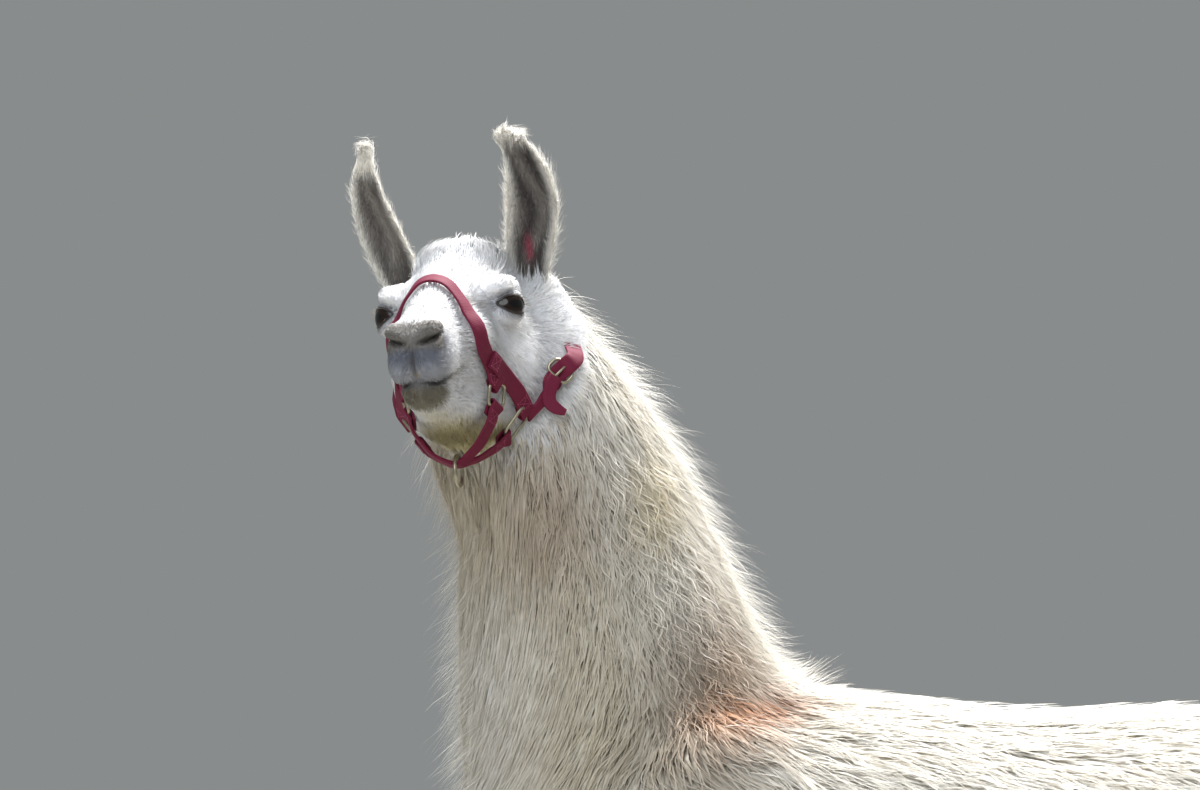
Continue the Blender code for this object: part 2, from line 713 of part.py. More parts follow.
# ---------------------------------------------------------------- the pieces
NECK_TOP = on_head(-0.085, 0.0, -0.050), HEAD_TURN @ Vector((0.894, 0.0, 0.447))
NECK_ROOT = Vector((0, -0.435, 1.055)), Vector((0, -0.414, 0.910))
MOUTH = on_head(0.110, 0.0, -0.094), HEAD_TURN @ Vector((-0.16, 0.0, 1.0))
FORE_ROOT = Vector((0, -0.40, 0.61)), Vector((0, -0.349, -0.937))
HIND_ROOT = Vector((0, 0.35, 0.645)), Vector((0, 0.287, -0.958))
GROUND = Vector((0, 0, 0)), Vector((0, 0, 1))
LEGS = {
    "fore": (FORE_LEG, FORE_ROOT, KNEE_HEIGHT, -1),  # and its end of the trunk
    "hind": (HIND_LEG, HIND_ROOT, HOCK_HEIGHT, 1),
}

body = whole_body()
head = whole_head()
face = kept_side(kept_side(head.copy(), *NECK_TOP), *MOUTH)
jaw = kept_side(kept_side(head.copy(), *NECK_TOP), MOUTH[0], -MOUTH[1])
neck = kept_side(kept_side(body.copy(), NECK_TOP[0], -NECK_TOP[1]), *NECK_ROOT)
neck = kept_side(neck, (0, -0.2, 0), (0, -1, 0))
trunk = kept_side(body.copy(), NECK_ROOT[0], -NECK_ROOT[1])
trunk = kept_side(kept_side(trunk, FORE_ROOT[0], -FORE_ROOT[1]), HIND_ROOT[0], -HIND_ROOT[1])
eyes = {name: eyeball(side) for name, side in (("eye_left", 1), ("eye_right", -1))}
ears = {"ear_left": ear(LEFT_EAR), "ear_right": ear(RIGHT_EAR)}

wire, webbing, cut_webbing = halter_of(BVHTree.FromBMesh(head))
halter = [*wire.values(), *webbing.values()]

node("head", largest_island(without(face, [*eyes.values(), *halter])), FACE_HAIR)
node("lower_jaw", largest_island(without(jaw, halter)), FACE_HAIR)
node("neck", largest_island(without(neck, halter)), WOOL)
for name, shape in wire.items():
    node(name, shape, BRASS)
for name, shape in cut_webbing.items():
    node(name, shape, WEBBING)
node("trunk", largest_island(trunk), WOOL)
for name, ball_of_eye in eyes.items():
    node(name, ball_of_eye, EYEBALL)
for name, trough in ears.items():
    node(name, largest_island(without(trough, [head])), EAR_HAIR)

tail = bmesh.new()
loft(tail, TAIL, (1, 0, 0), sides=14, steps=1, squareness=2.0)
node("tail", largest_island(without(tail, [body])), WOOL)

for place, (stations, root, joint_height, end) in LEGS.items():
    for hand, side in (("left", 1), ("right", -1)):
        leg = kept_side(kept_side(body.copy(), *root), (0, 0, 0), (side, 0, 0))
        leg = kept_side(leg, (0, 0, 0), (0, end, 0))
        leg = kept_side(leg, *GROUND, gap=0)
        joint, fetlock = (0, 0, joint_height), (0, 0, FETLOCK_HEIGHT)
        up, down = (0, 0, 1), (0, 0, -1)
        upper = kept_side(leg.copy(), joint, up)
        lower = kept_side(kept_side(leg.copy(), joint, down), fetlock, up)
        foot = kept_side(leg, fetlock, down)
        nails = {toe: nail(stations, side, toe) for toe in (1, -1)}
        for shape in nails.values():
            kept_side(shape, *GROUND, gap=GAP)
        node(f"{place}_{hand}_upper_leg", largest_island(upper), WOOL)
        node(f"{place}_{hand}_lower_leg", largest_island(lower), WOOL)
        node(f"{place}_{hand}_foot", largest_island(without(foot, nails.values())), FACE_HAIR)
        for toe, shape in nails.items():
            node(f"{place}_{hand}_{'outer' if toe == side else 'inner'}_nail", shape, HORN)
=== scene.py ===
"""The looks of a life-size standing llama in a webbing halter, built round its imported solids."""

import math

import bmesh
import bpy
import numpy as np
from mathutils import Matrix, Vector
from mathutils.bvhtree import BVHTree
from mathutils.kdtree import KDTree


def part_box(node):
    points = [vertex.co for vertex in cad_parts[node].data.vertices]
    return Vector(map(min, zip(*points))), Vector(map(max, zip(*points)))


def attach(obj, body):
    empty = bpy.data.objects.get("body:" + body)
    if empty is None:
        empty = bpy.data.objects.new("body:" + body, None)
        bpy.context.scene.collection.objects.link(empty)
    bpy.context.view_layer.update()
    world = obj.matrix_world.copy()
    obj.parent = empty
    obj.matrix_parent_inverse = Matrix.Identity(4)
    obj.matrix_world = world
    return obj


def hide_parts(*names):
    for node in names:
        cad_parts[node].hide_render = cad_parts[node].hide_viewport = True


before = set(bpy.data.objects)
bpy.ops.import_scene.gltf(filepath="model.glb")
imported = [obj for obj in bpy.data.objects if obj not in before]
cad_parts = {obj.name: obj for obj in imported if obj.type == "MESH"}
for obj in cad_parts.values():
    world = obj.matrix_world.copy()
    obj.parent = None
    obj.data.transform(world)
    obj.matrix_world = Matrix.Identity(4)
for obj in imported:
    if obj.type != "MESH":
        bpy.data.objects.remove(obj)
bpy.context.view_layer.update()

# ------------------------------------------------- the head's own axes
# The head is turned to its left and a little up, with its left side higher. Places on the
# head are given forward, left and up from the place midway between the eyes.
HEAD_YAW = math.radians(77.0)
HEAD_PITCH = math.radians(5.5)
HEAD_ROLL = math.radians(5.5)


def middle_of(node):
    low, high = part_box(node)
    return (np.array(low) + np.array(high)) / 2


def unit(vectors):
    lengths = np.linalg.norm(vectors, axis=-1, keepdims=True)
    return vectors / np.maximum(lengths, 1e-12)


def laid(vectors, normals):
    """Directions of the vectors, laid flat on surfaces with those normals."""
    return unit(vectors - np.sum(vectors * normals, -1, keepdims=True) * normals)


FORWARD = np.array(
    (
        math.sin(HEAD_YAW) * math.cos(HEAD_PITCH),
        -math.cos(HEAD_YAW) * math.cos(HEAD_PITCH),
        math.sin(HEAD_PITCH),
    )
)
LEVEL_LEFT = unit(np.cross((0, 0, 1), FORWARD))
LEFT = LEVEL_LEFT * math.cos(HEAD_ROLL) + np.cross(FORWARD, LEVEL_LEFT) * math.sin(HEAD_ROLL)
HEAD_AXES = np.array((FORWARD, LEFT, np.cross(FORWARD, LEFT)))
EYES_AHEAD = 0.001  # the solids of the eyes lie this far before the place meant here
EYES = (middle_of("eye_left") + middle_of("eye_right")) / 2 - EYES_AHEAD * FORWARD


def on_head(places):
    """Places forward, left and up from the eyes, as points of the model."""
    return EYES + np.asarray(places, float) @ HEAD_AXES


def from_eyes(points):
    """Points of the model, as forward, left and up from the eyes."""
    return (np.asarray(points) - EYES) @ HEAD_AXES.T


# ------------------------------------------------- the skin
# A live animal's hide, in one piece over head, neck, trunk, tail and legs. It lies inside
# the solids by the depth of the coat, and folds at the lids, nostrils and mouth.
HIDE_DEPTH = {  # how deep the hide lies under the tips of the coat
    "head": 0.0050,
    "lower_jaw": 0.0060,
    "ear": 0.0022,
    "neck": 0.0070,
    "trunk": 0.0090,
    "tail": 0.0090,
    "upper_leg": 0.0065,
    "lower_leg": 0.0060,
    "foot": 0.0030,
}
JOIN_HEIGHT = 1.29  # where the head's fine mesh meets the body's coarse one, in the neck
JOIN_BAND = 0.008
FINE, COARSE = 0.0032, 0.0125  # grid of the two meshes
CUT_OVERLAP = 0.0008  # closes the thin cuts between the solids


def part_of(node):
    """The row of HIDE_DEPTH for a node of flesh, or None."""
    ends = (part for part in HIDE_DEPTH if node.startswith(part) or node.endswith(part))
    return None if node == "strap_tail" else next(ends, None)


FLESH = [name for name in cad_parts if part_of(name)]


def joined(bmeshes):
    made = bmesh.new()
    for bm in bmeshes:
        mesh = bpy.data.meshes.new("part")
        bm.to_mesh(mesh)
        made.from_mesh(mesh)
        bm.free()
        bpy.data.meshes.remove(mesh)
    return made


def copy_of(node):
    """A bmesh of a CAD node, merged and grown a little so that neighbours overlap."""
    bm = bmesh.new()
    bm.from_mesh(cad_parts[node].data)
    bmesh.ops.remove_doubles(bm, verts=bm.verts, dist=1e-5)
    bm.normal_update()
    for place, vert in [(v.co + v.normal * CUT_OVERLAP, v) for v in bm.verts]:
        vert.co = place
    return bm


def placed(name, data):
    """A new object in the scene, with a mesh, a lamp or a camera for its data."""
    made = bpy.data.objects.new(name, data)
    bpy.context.scene.collection.objects.link(made)
    return made


def outer_shell(bm):
    """Leaves only the largest connected surface of bm."""
    left, best = set(bm.verts), []
    while left:
        island = edge = [left.pop()]
        while edge:
            near = {e.other_vert(v) for v in edge for e in v.link_edges} & left
            left -= near
            edge = list(near)
            island = island + edge
        best = max(best, island, key=len)
    keep = set(best)
    bmesh.ops.delete(bm, geom=[v for v in bm.verts if v not in keep], context="VERTS")
    return bm


def cut_level(bm, height, upper, cap=False):
    """Cuts bm level at a height, and keeps what is above or below it."""
    bmesh.ops.bisect_plane(
        bm,
        geom=[*bm.verts, *bm.edges, *bm.faces],
        dist=1e-6,
        plane_co=(0, 0, height),
        plane_no=(0, 0, -1 if upper else 1),
        clear_outer=True,
    )
    if cap:
        bmesh.ops.holes_fill(bm, edges=[e for e in bm.edges if e.is_boundary], sides=0)
    return bm


def regridded(bm, cell):
    """The outer surface of overlapping closed shapes, on an even grid. bm is freed."""
    mesh = bpy.data.meshes.new("volume")
    bm.to_mesh(mesh)
    bm.free()
    obj = placed("volume", mesh)
    grid = obj.modifiers.new("Grid", "REMESH")
    grid.mode, grid.voxel_size = "VOXEL", cell
    made = bmesh.new()
    made.from_object(obj, bpy.context.evaluated_depsgraph_get())
    bpy.data.objects.remove(obj)
    return outer_shell(made)


def arrays_of(bm):
    """Points, edges and triangles of bm, whose faces are triangles."""
    bm.verts.index_update()
    points = np.array([v.co for v in bm.verts])
    edges = np.array([[v.index for v in e.verts] for e in bm.edges])
    faces = np.array([[v.index for v in f.verts] for f in bm.faces])
    return points, edges, faces


def blurred(values, edges, times, weight=0.5):
    """Values at points, each drawn towards its neighbours' mean again and again."""
    flat = np.array(values, float).reshape(len(values), -1)
    ends = np.concatenate([edges, edges[:, ::-1]])
    count = np.maximum(np.bincount(ends[:, 0], minlength=len(flat)), 1)
    for _ in range(times):
        for column in flat.T:
            mean = np.bincount(ends[:, 0], column[ends[:, 1]], len(flat)) / count
            column += weight * (mean - column)
    return flat.reshape(np.shape(values))


def crosses_of(points, faces):
    """The corners of each triangle, and its normal with twice its area for a length."""
    corners = points[faces]
    return corners, np.cross(corners[:, 1] - corners[:, 0], corners[:, 2] - corners[:, 0])


def normals_of(points, faces):
    _, cross = crosses_of(points, faces)
    total = [
        sum(np.bincount(faces[:, i], cross[:, axis], len(points)) for i in range(3))
        for axis in range(3)
    ]
    return unit(np.array(total).T)


def smooth_step(low, high, values):
    """0 up to low and 1 from high on, with a soft ramp between. low may be over high."""
    t = np.clip((values - low) / (high - low), 0, 1)
    return t * t * (3 - 2 * t)


CLOSED_SOCKETS = ["eye_left", "eye_right", "crown_strap"]  # fill what they left in the flesh
ROOT_OF_NECK = 0.03  # how far below the join the fine mesh's flesh goes
SIDES = {"left": 1, "right": -1}
EYE_LOW, EYE_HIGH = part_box("eye_left")
EYE_RADIUS = (EYE_HIGH[2] - EYE_LOW[2]) / 2
EYE_DROP = np.array((0.0, 0.0, -0.0012))  # the eyes sit this much lower than their solids
EYE_CENTRES = {hand: from_eyes(middle_of("eye_" + hand)) + EYE_DROP for hand in SIDES}

on_face = [name for name in FLESH if part_of(name) in ("head", "lower_jaw", "ear")]
upper_neck = cut_level(copy_of("neck"), JOIN_HEIGHT - ROOT_OF_NECK, upper=True, cap=True)
fine = joined([copy_of(name) for name in on_face + CLOSED_SOCKETS] + [upper_neck])
coarse = joined([copy_of(name) for name in FLESH + CLOSED_SOCKETS])
fine = cut_level(regridded(fine, FINE), JOIN_HEIGHT + JOIN_BAND / 2, upper=True)
coarse = cut_level(regridded(coarse, COARSE), JOIN_HEIGHT - JOIN_BAND / 2, upper=False)
hide = joined([fine, coarse])
bmesh.ops.bridge_loops(hide, edges=[e for e in hide.edges if e.is_boundary])
bmesh.ops.recalc_face_normals(hide, faces=hide.faces)
bmesh.ops.triangulate(hide, faces=hide.faces)
points, edges, faces = arrays_of(hide)
points = blurred(points, edges, 4)

# The muzzle and the lids get a mesh of half and a quarter of the head's grid.
FINER = ((0.085, 0.034), (0.125, 0.027))  # how far forward each starts, and reaches round an eye
HEAD_REACH = 0.25  # no part of the head but the ears is further from the eyes
hide.verts.ensure_lookup_table()
for vert, place in zip(hide.verts, points):
    vert.co = place
for muzzle, reach in FINER:
    hide.verts.index_update()
    places = from_eyes([v.co for v in hide.verts])
    eye_ways = [np.linalg.norm(places - centre, axis=1) for centre in EYE_CENTRES.values()]
    finer = (places[:, 0] > muzzle) | (np.min(eye_ways, axis=0) < reach)
    finer &= np.linalg.norm(places, axis=1) < HEAD_REACH
    split = [e for e in hide.edges if any(finer[v.index] for v in e.verts)]
    bmesh.ops.subdivide_edges(hide, edges=split, cuts=1)
    bmesh.ops.triangulate(hide, faces=hide.faces)
points, edges, faces = arrays_of(hide)
hide.free()
places = from_eyes(points)
near_face = smooth_step(0.27, 0.22, np.linalg.norm(places, axis=1))
points += near_face[:, None] * (blurred(points, edges, 6) - points)

outline_points, outline_faces, outline_nodes = [], [], []
for index, name in enumerate(FLESH):
    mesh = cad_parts[name].data
    first = len(outline_points)
    outline_points += [v.co[:] for v in mesh.vertices]
    outline_faces += [[first + i for i in p.vertices] for p in mesh.polygons]
    outline_nodes += [index] * len(mesh.polygons)
outline = BVHTree.FromPolygons(outline_points, outline_faces)
node_at = np.array(outline_nodes)[[outline.find_nearest(p)[2] for p in points.tolist()]]


def by_part(table, times):
    """A value at each point of the hide, from a table of parts, blurred where they meet."""
    return blurred(np.array([table[part_of(name)] for name in FLESH])[node_at], edges, times)


def share_of(parts, times):
    """How much each point of the hide belongs to some of the parts, 0 to 1."""
    return by_part({part: float(part in parts) for part in HIDE_DEPTH}, times)


outer_surface = BVHTree.FromPolygons(points.tolist(), faces.tolist())  # where the tips end
coat_depth = by_part(HIDE_DEPTH, 60)
normals = normals_of(points, faces)
on_neck = share_of(("neck",), 20)
FLUFF = 0.019  # more depth where only loose tips reach the outline, before and behind the neck
loose = on_neck * smooth_step(0.35, 0.75, np.abs(normals[:, 1]))
loose *= smooth_step(0.93, 1.03, points[:, 2])
points -= normals * (coat_depth + FLUFF * blurred(loose, edges, 10))[:, None]
points = blurred(points, edges, 2)


# ------------------------------------------------- the folds of the face
# Thin skin over gristle and muscle: each fold is a line on the head along which the hide
# rises or sinks, soft to both sides.
def line_through(places, steps=8):
    """A curve through a few places, as more of them."""
    known = np.array(places, float)
    ends = np.vstack([2 * known[0] - known[1], known, 2 * known[-1] - known[-2]])
    made = []
    for i in range(1, len(ends) - 2):
        a, b, c, d = ends[i - 1 : i + 3]
        for t in np.arange(steps) / steps:
            bend = (2 * a - 5 * b + 4 * c - d) * t**2 + (3 * b - a - 3 * c + d) * t**3
            made.append(0.5 * (2 * b + (c - a) * t + bend))
    return np.array(made + [known[-1]])


def distance_to(line, places):
    """How far each place is from a line of points, and how far along the line, 0 to 1."""
    best = np.full(len(places), 1e9)
    along = np.zeros(len(places))
    for i, (start, end) in enumerate(zip(line, line[1:])):
        way = end - start
        t = np.clip((places - start) @ way / max(way @ way, 1e-12), 0, 1)
        distance = np.linalg.norm(places - start - t[:, None] * way, axis=1)
        along = np.where(distance < best, (i + t) / (len(line) - 1), along)
        best = np.minimum(distance, best)
    return best, along


def mirrored(places, side):
    return [(f, side * l, u) for f, l, u in places]


def bump(places, line, width, side=1):
    """1 on a line through a few places, soft to each side and towards its ends."""
    distance, along = distance_to(line_through(mirrored(line, side)), places)
    return np.exp(-((distance / width) ** 2)) * np.clip(np.sin(np.pi * along), 0.15, 1) ** 0.5


NOSTRIL = [(0.166, 0.0075, -0.0500), (0.165, 0.0140, -0.0490), (0.160, 0.0210, -0.0460),
           (0.153, 0.0265, -0.0420), (0.144, 0.0285, -0.0380)]
WING_OF_NOSE = [(0.164, 0.009, -0.0415), (0.159, 0.018, -0.0375), (0.150, 0.0255, -0.0325)]
UNDER_NOSTRIL = [(0.166, 0.010, -0.0565), (0.160, 0.019, -0.0540), (0.152, 0.026, -0.0495)]
NOSE_RIDGE = [(0.166, 0.0, -0.036), (0.168, 0.0, -0.045), (0.169, 0.0, -0.053)]
NOSE_HOLLOW = [(0.150, 0.010, -0.026), (0.160, 0.0055, -0.036), (0.166, 0.0045, -0.046)]
MOUTH = [(0.152, 0.0, -0.0890), (0.147, 0.012, -0.0885), (0.136, 0.021, -0.0860),
         (0.119, 0.0270, -0.0815), (0.102, 0.0300, -0.0760), (0.084, 0.0312, -0.0690)]
CLEFT_OF_LIP = [(0.170, 0.0, -0.054), (0.168, 0.0, -0.066), (0.163, 0.0, -0.077),
                (0.154, 0.0, -0.087)]
LIP_LOBE = [(0.160, 0.013, -0.064), (0.156, 0.016, -0.074), (0.148, 0.018, -0.082)]
LOWER_LIP = [(0.128, 0.020, -0.095), (0.143, 0.008, -0.098), (0.145, 0.0, -0.098)]
BROW = [(0.030, 0.052, 0.016), (0.010, 0.068, 0.022), (-0.015, 0.075, 0.021),
        (-0.040, 0.072, 0.010)]
CHEEK_LINE = [(0.060, 0.042, -0.038), (0.030, 0.054, -0.046), (-0.005, 0.062, -0.050)]
TEAR_LINE = [(0.026, 0.047, 0.002), (0.037, 0.038, 0.001), (0.050, 0.029, 0.003)]

normals = normals_of(points, faces)
near_head = np.flatnonzero(np.linalg.norm(from_eyes(points), axis=1) < 0.23)
places = from_eyes(points[near_head])
rise = -0.0036 * bump(places, CLEFT_OF_LIP, 0.0021)
rise += 0.0022 * bump(places, NOSE_RIDGE, 0.0034)
for side in (1, -1):
    for fold, half_width, height in (
        (NOSTRIL, 0.0026, -0.0110),
        (WING_OF_NOSE, 0.0062, 0.0046),
        (UNDER_NOSTRIL, 0.0040, 0.0020),
        (NOSE_HOLLOW, 0.0036, -0.0020),
        (MOUTH, 0.0023, -0.0062),
        (LIP_LOBE, 0.0085, 0.0038),
        (LOWER_LIP, 0.0070, 0.0022),
        (BROW, 0.0080, 0.0036),
        (CHEEK_LINE, 0.0090, 0.0020),
        (TEAR_LINE, 0.0030, -0.0016),
    ):
        rise += height * bump(places, fold, half_width, side)
points[near_head] += rise[:, None] * normals[near_head]


# ------------------------------------------------- the ears' hollows
# Gristle under thin skin, open to the front. Each ear's middle sinks a little, and how far
# each point is across it and how it faces tell the markings and the coat where they are.
EAR_LINES = {  # between the rims of each ear, from its root to its tip, and half its width
    "left": [(-0.080, 0.0690, 0.010, 0.017), (-0.088, 0.0640, 0.062, 0.028),
             (-0.090, 0.0710, 0.114, 0.031), (-0.083, 0.0640, 0.162, 0.0225),
             (-0.079, 0.0540, 0.179, 0.0155), (-0.076, 0.0410, 0.190, 0.0075)],
    "right": [(-0.080, -0.0610, 0.016, 0.016), (-0.088, -0.0775, 0.064, 0.025),
              (-0.090, -0.0960, 0.112, 0.024), (-0.083, -0.1020, 0.158, 0.017),
              (-0.079, -0.0995, 0.177, 0.012), (-0.076, -0.0950, 0.193, 0.0065)],
}


on_ears = share_of(("ear",), 2)
places = from_eyes(points)
ear_across = np.zeros(len(points))  # from the middle of an ear, as a share of half its width
ear_out = np.zeros((len(points), 3))  # away from the middle of the ear
inward = np.zeros(len(points))  # how squarely the hide faces into the ear
for hand, line in EAR_LINES.items():
    near = np.flatnonzero((on_ears > 0.02) & (np.sign(places[:, 1]) == SIDES[hand]))
    curve = line_through(line)
    _, along = distance_to(curve[:, :3], places[near])
    at_line = np.array(
        [np.interp(along * (len(curve) - 1), np.arange(len(curve)), c) for c in curve.T]
    ).T
    apart = places[near] - at_line[:, :3]
    ear_across[near] = apart[:, 1] / at_line[:, 3]
    ear_out[near] = np.array((0.25, 1.0, 0.25)) * unit(apart) @ HEAD_AXES
    inward[near] = np.sum(-unit(apart) @ HEAD_AXES * normals[near], axis=1)
EAR_DIP = 0.0045  # the middle of each ear is this much deeper than its solid
dip = EAR_DIP * np.clip(1 - ear_across**2, 0, 1) * on_ears
points -= (dip * smooth_step(0.0, 0.05, places[:, 2]))[:, None] * FORWARD


# ------------------------------------------------- eye sockets and lids
# The opening is a pointed oval on the eyeball. The hide hugs the ball round it, with one
# crease over it and one under it, and turns in behind its rim.
EYE_LOOKS = (0.52, 0.72, 0.05)  # forward, outward and up
EYE_HALF_LENGTH = 0.0172
UPPER_LID_RISE, LOWER_LID_DROP = 0.0088, 0.0090
SLANT = 0.10  # the opening drops by this share of its length towards the nose
POINTED = 1.35  # corners of the opening; 1 would make it an oval
LID_THICK = 0.0016
UPPER_CREASE = (0.0013, 0.0062, 0.0013)  # depth, way from the lids' rim, half width
LOWER_CREASE = (0.0009, 0.0070, 0.0016)
RIM_STEPS = 72


def eye_axes(side):
    """Rows: along the opening towards the nose, up, and out of the eye, on the head."""
    ahead, outward, up = EYE_LOOKS
    out = unit(np.array((ahead, side * outward, up)))
    up = unit(np.array((0.0, 0.0, 1.0)) - out[2] * out)
    return np.array((np.cross(up, out) * side, up, out))


def opening():
    """The edge of the opening of the lids, along and up, from the front corner round."""
    turn = np.linspace(0, 2 * np.pi, RIM_STEPS, endpoint=False)
    lift = np.where(turn < np.pi, UPPER_LID_RISE, LOWER_LID_DROP)
    x = EYE_HALF_LENGTH * np.cos(turn)
    y = lift * np.sign(np.sin(turn)) * np.abs(np.sin(turn)) ** POINTED
    return np.column_stack([x, y - SLANT * x])


def lids_rim(height):
    """The same edge on the eyeball and this far out of it, on the eye's axes."""
    rim = opening()
    reach = np.hypot(rim[:, 0], rim[:, 1])
    return np.column_stack([rim, np.sqrt(EYE_RADIUS**2 - reach**2) + height])


def crease(way, depth, place, half_width):
    return depth * np.exp(-(((way - place) / half_width) ** 2))


for hand, side in SIDES.items():
    around = np.flatnonzero(
        np.linalg.norm(from_eyes(points) - EYE_CENTRES[hand], axis=1) < 1.7 * EYE_RADIUS
    )
    axes = eye_axes(side)
    local = (from_eyes(points[around]) - EYE_CENTRES[hand]) @ axes.T
    edge = opening()
    way, _ = distance_to(np.vstack([edge, edge[:1]]), local[:, :2])
    slant = local[:, 1] + SLANT * local[:, 0]
    across = np.clip(1 - (local[:, 0] / EYE_HALF_LENGTH) ** 2, 0, 1) ** (POINTED / 2)
    inside = (slant < UPPER_LID_RISE * across) & (slant > -LOWER_LID_DROP * across)
    inside &= local[:, 2] > 0
    way = np.where(inside, -way, way)
    reach = np.hypot(local[:, 0], local[:, 1])
    ball = np.sqrt(np.maximum(EYE_RADIUS**2 - reach**2, (0.35 * EYE_RADIUS) ** 2))
    sunk = np.where(slant > 0, crease(way, *UPPER_CREASE), crease(way, *LOWER_CREASE))
    lid = ball + LID_THICK * smooth_step(-0.0003, 0.0010, way)
    lid -= 0.006 * smooth_step(0.0002, -0.0016, way)
    outward = local[:, 2] > 0
    hug = smooth_step(0.0050, 0.0015, way) * outward
    height = np.where(reach < EYE_RADIUS, np.maximum(local[:, 2], lid), local[:, 2])
    local[:, 2] = np.where(outward, height + hug * (lid - height) - sunk, local[:, 2])
    points[around] = on_head(local @ axes + EYE_CENTRES[hand])

lid_way = np.full(len(points), 1.0)  # distance of each point of the hide from the lids' rims
for hand, side in SIDES.items():
    rim = on_head(lids_rim(LID_THICK / 2) @ eye_axes(side) + EYE_CENTRES[hand])
    near = np.flatnonzero(np.linalg.norm(points - rim.mean(0), axis=1) < 0.05)
    lid_way[near], _ = distance_to(np.vstack([rim, rim[:1]]), points[near])
normals = normals_of(points, faces)
hide_tree = BVHTree.FromPolygons(points.tolist(), faces.tolist())


# ------------------------------------------------- the markings
# The coat is white to cream, with grey skin showing through at the muzzle, dark hair in
# the hollows of the ears and tan stains on the neck, and painted shade over the neck, the
# muzzle, the ears' hollows, the nostrils, the mouth and under the nose. Hide and coat
# carry the same colours.
def paint(code):
    """A colour of light from an sRGB hex value."""
    part = np.array([int(code[i : i + 2], 16) / 255 for i in (1, 3, 5)])
    return np.where(part <= 0.04045, part / 12.92, ((part + 0.055) / 1.055) ** 2.4)


WHITE_HAIR, CREAM_WOOL = paint("#f3f4f8"), paint("#f6f2ea")
NECK_WOOL_IN_SHADE, TAN_STAIN_AND_SHADE, STAINED_WOOL = paint("#e3d9c4"), paint("#a98f76"), paint("#be7843")
SHADED_WOOL, GOLDEN_WOOL = paint("#aca08e"), paint("#f3e6c6")
MUZZLE_GREY_AND_SHADE, NOSE_PAD, SHADE_IN_NOSTRILS_AND_MOUTH = paint("#7a7e8c"), paint("#77716a"), paint("#181413")
PAINTED_SHADOW_UNDER_NOSE = paint("#4a505e")
LIP_BROWN, CHIN_GREY, JAW_YELLOW = paint("#4f463c"), paint("#8f8a78"), paint("#d4ca98")
EAR_HOLLOW_HAIR_AND_SHADE, EAR_PALE, EAR_PINK = paint("#433d3b"), paint("#a29b93"), paint("#a83a55")
TEAR_STAIN, LID_GREY = paint("#86705c"), paint("#7f828c")
STRAW_STAIN, SOLE_GREY = paint("#b39a3f"), paint("#4a4643")

places = from_eyes(points)
ahead, leftward, upward = places.T
on_head_part = share_of(("head", "lower_jaw"), 8)
marking = np.tile(CREAM_WOOL, (len(points), 1))


def near_to(place, radius):
    """1 at a place on the head, fading to 0 past a radius."""
    return np.exp(-(np.linalg.norm(places - np.array(place), axis=1) / radius) ** 2)


def tinted(mask, colour):
    """Lays a colour over the markings where the mask is 1."""
    marking[:] = marking + np.clip(mask, 0, 1)[:, None] * (colour - marking)


# Neck: cream at the nape and low on the throat, and between them its cream dulled by
# painted shade. Tan patches, stains deepened with painted shade, lie on both of its sides;
# on the left one lie painted shade low in the crease by the shoulder, a golden patch and
# orange stains.
# the neck's cream, dulled all over as painted shade
tinted(on_neck, NECK_WOOL_IN_SHADE)
nape = smooth_step(-0.02, 0.10, points[:, 1] + 0.435 - 0.42 * (1.20 - points[:, 2]))
tinted(on_neck * nape * 0.9, CREAM_WOOL)
throat = smooth_step(-0.430, -0.540, points[:, 1] - 0.10 * (1.20 - points[:, 2]))
tinted(on_neck * throat * smooth_step(1.36, 1.20, points[:, 2]) * 0.9, CREAM_WOOL)
flank = np.abs(points[:, 0])
for (y, z), (reach_y, reach_z), colour, strength in (  # middle, and reach backward and upward
    # tan stains deepened with painted shade; the second lies in the crease by the shoulder
    ((-0.485, 1.340), (0.050, 0.065), TAN_STAIN_AND_SHADE, 0.60),
    ((-0.330, 1.160), (0.050, 0.085), TAN_STAIN_AND_SHADE, 0.90),
    # painted shade, low in the crease between neck and shoulder, on the left only
    ((-0.350, 1.080), (0.045, 0.060), SHADED_WOOL, 0.70),
    ((-0.395, 1.350), (0.022, 0.045), GOLDEN_WOOL, 0.80),
    ((-0.295, 1.132), (0.046, 0.013), STAINED_WOOL, 1.0),
    ((-0.322, 1.120), (0.028, 0.020), STAINED_WOOL, 0.60),
):
    way = np.hypot((points[:, 1] - y) / reach_y, (points[:, 2] - z) / reach_z)
    shown = smooth_step(0.02, 0.06, flank if colour is TAN_STAIN_AND_SHADE else points[:, 0])
    tinted(strength * np.exp(-(way**2)) * shown, colour)

# Head: white, with grey skin at the muzzle deepened by painted shade, brown lips, painted
# shade along the mouth and in the nostrils, and a painted shadow under the nose.
tinted(on_head_part, WHITE_HAIR)
tinted(on_head_part * smooth_step(-0.104, -0.122, upward) * (ahead > -0.04), JAW_YELLOW)
front = smooth_step(0.104, 0.148, ahead) * on_head_part
under_nose = 0.7 + 0.3 * smooth_step(-0.082, -0.058, upward)
under_nose *= smooth_step(0.048, 0.022, np.abs(leftward)) * smooth_step(-0.030, -0.048, upward)
# grey skin of the muzzle's front, made darker and bluer with painted shade
tinted(front * under_nose, MUZZLE_GREY_AND_SHADE)
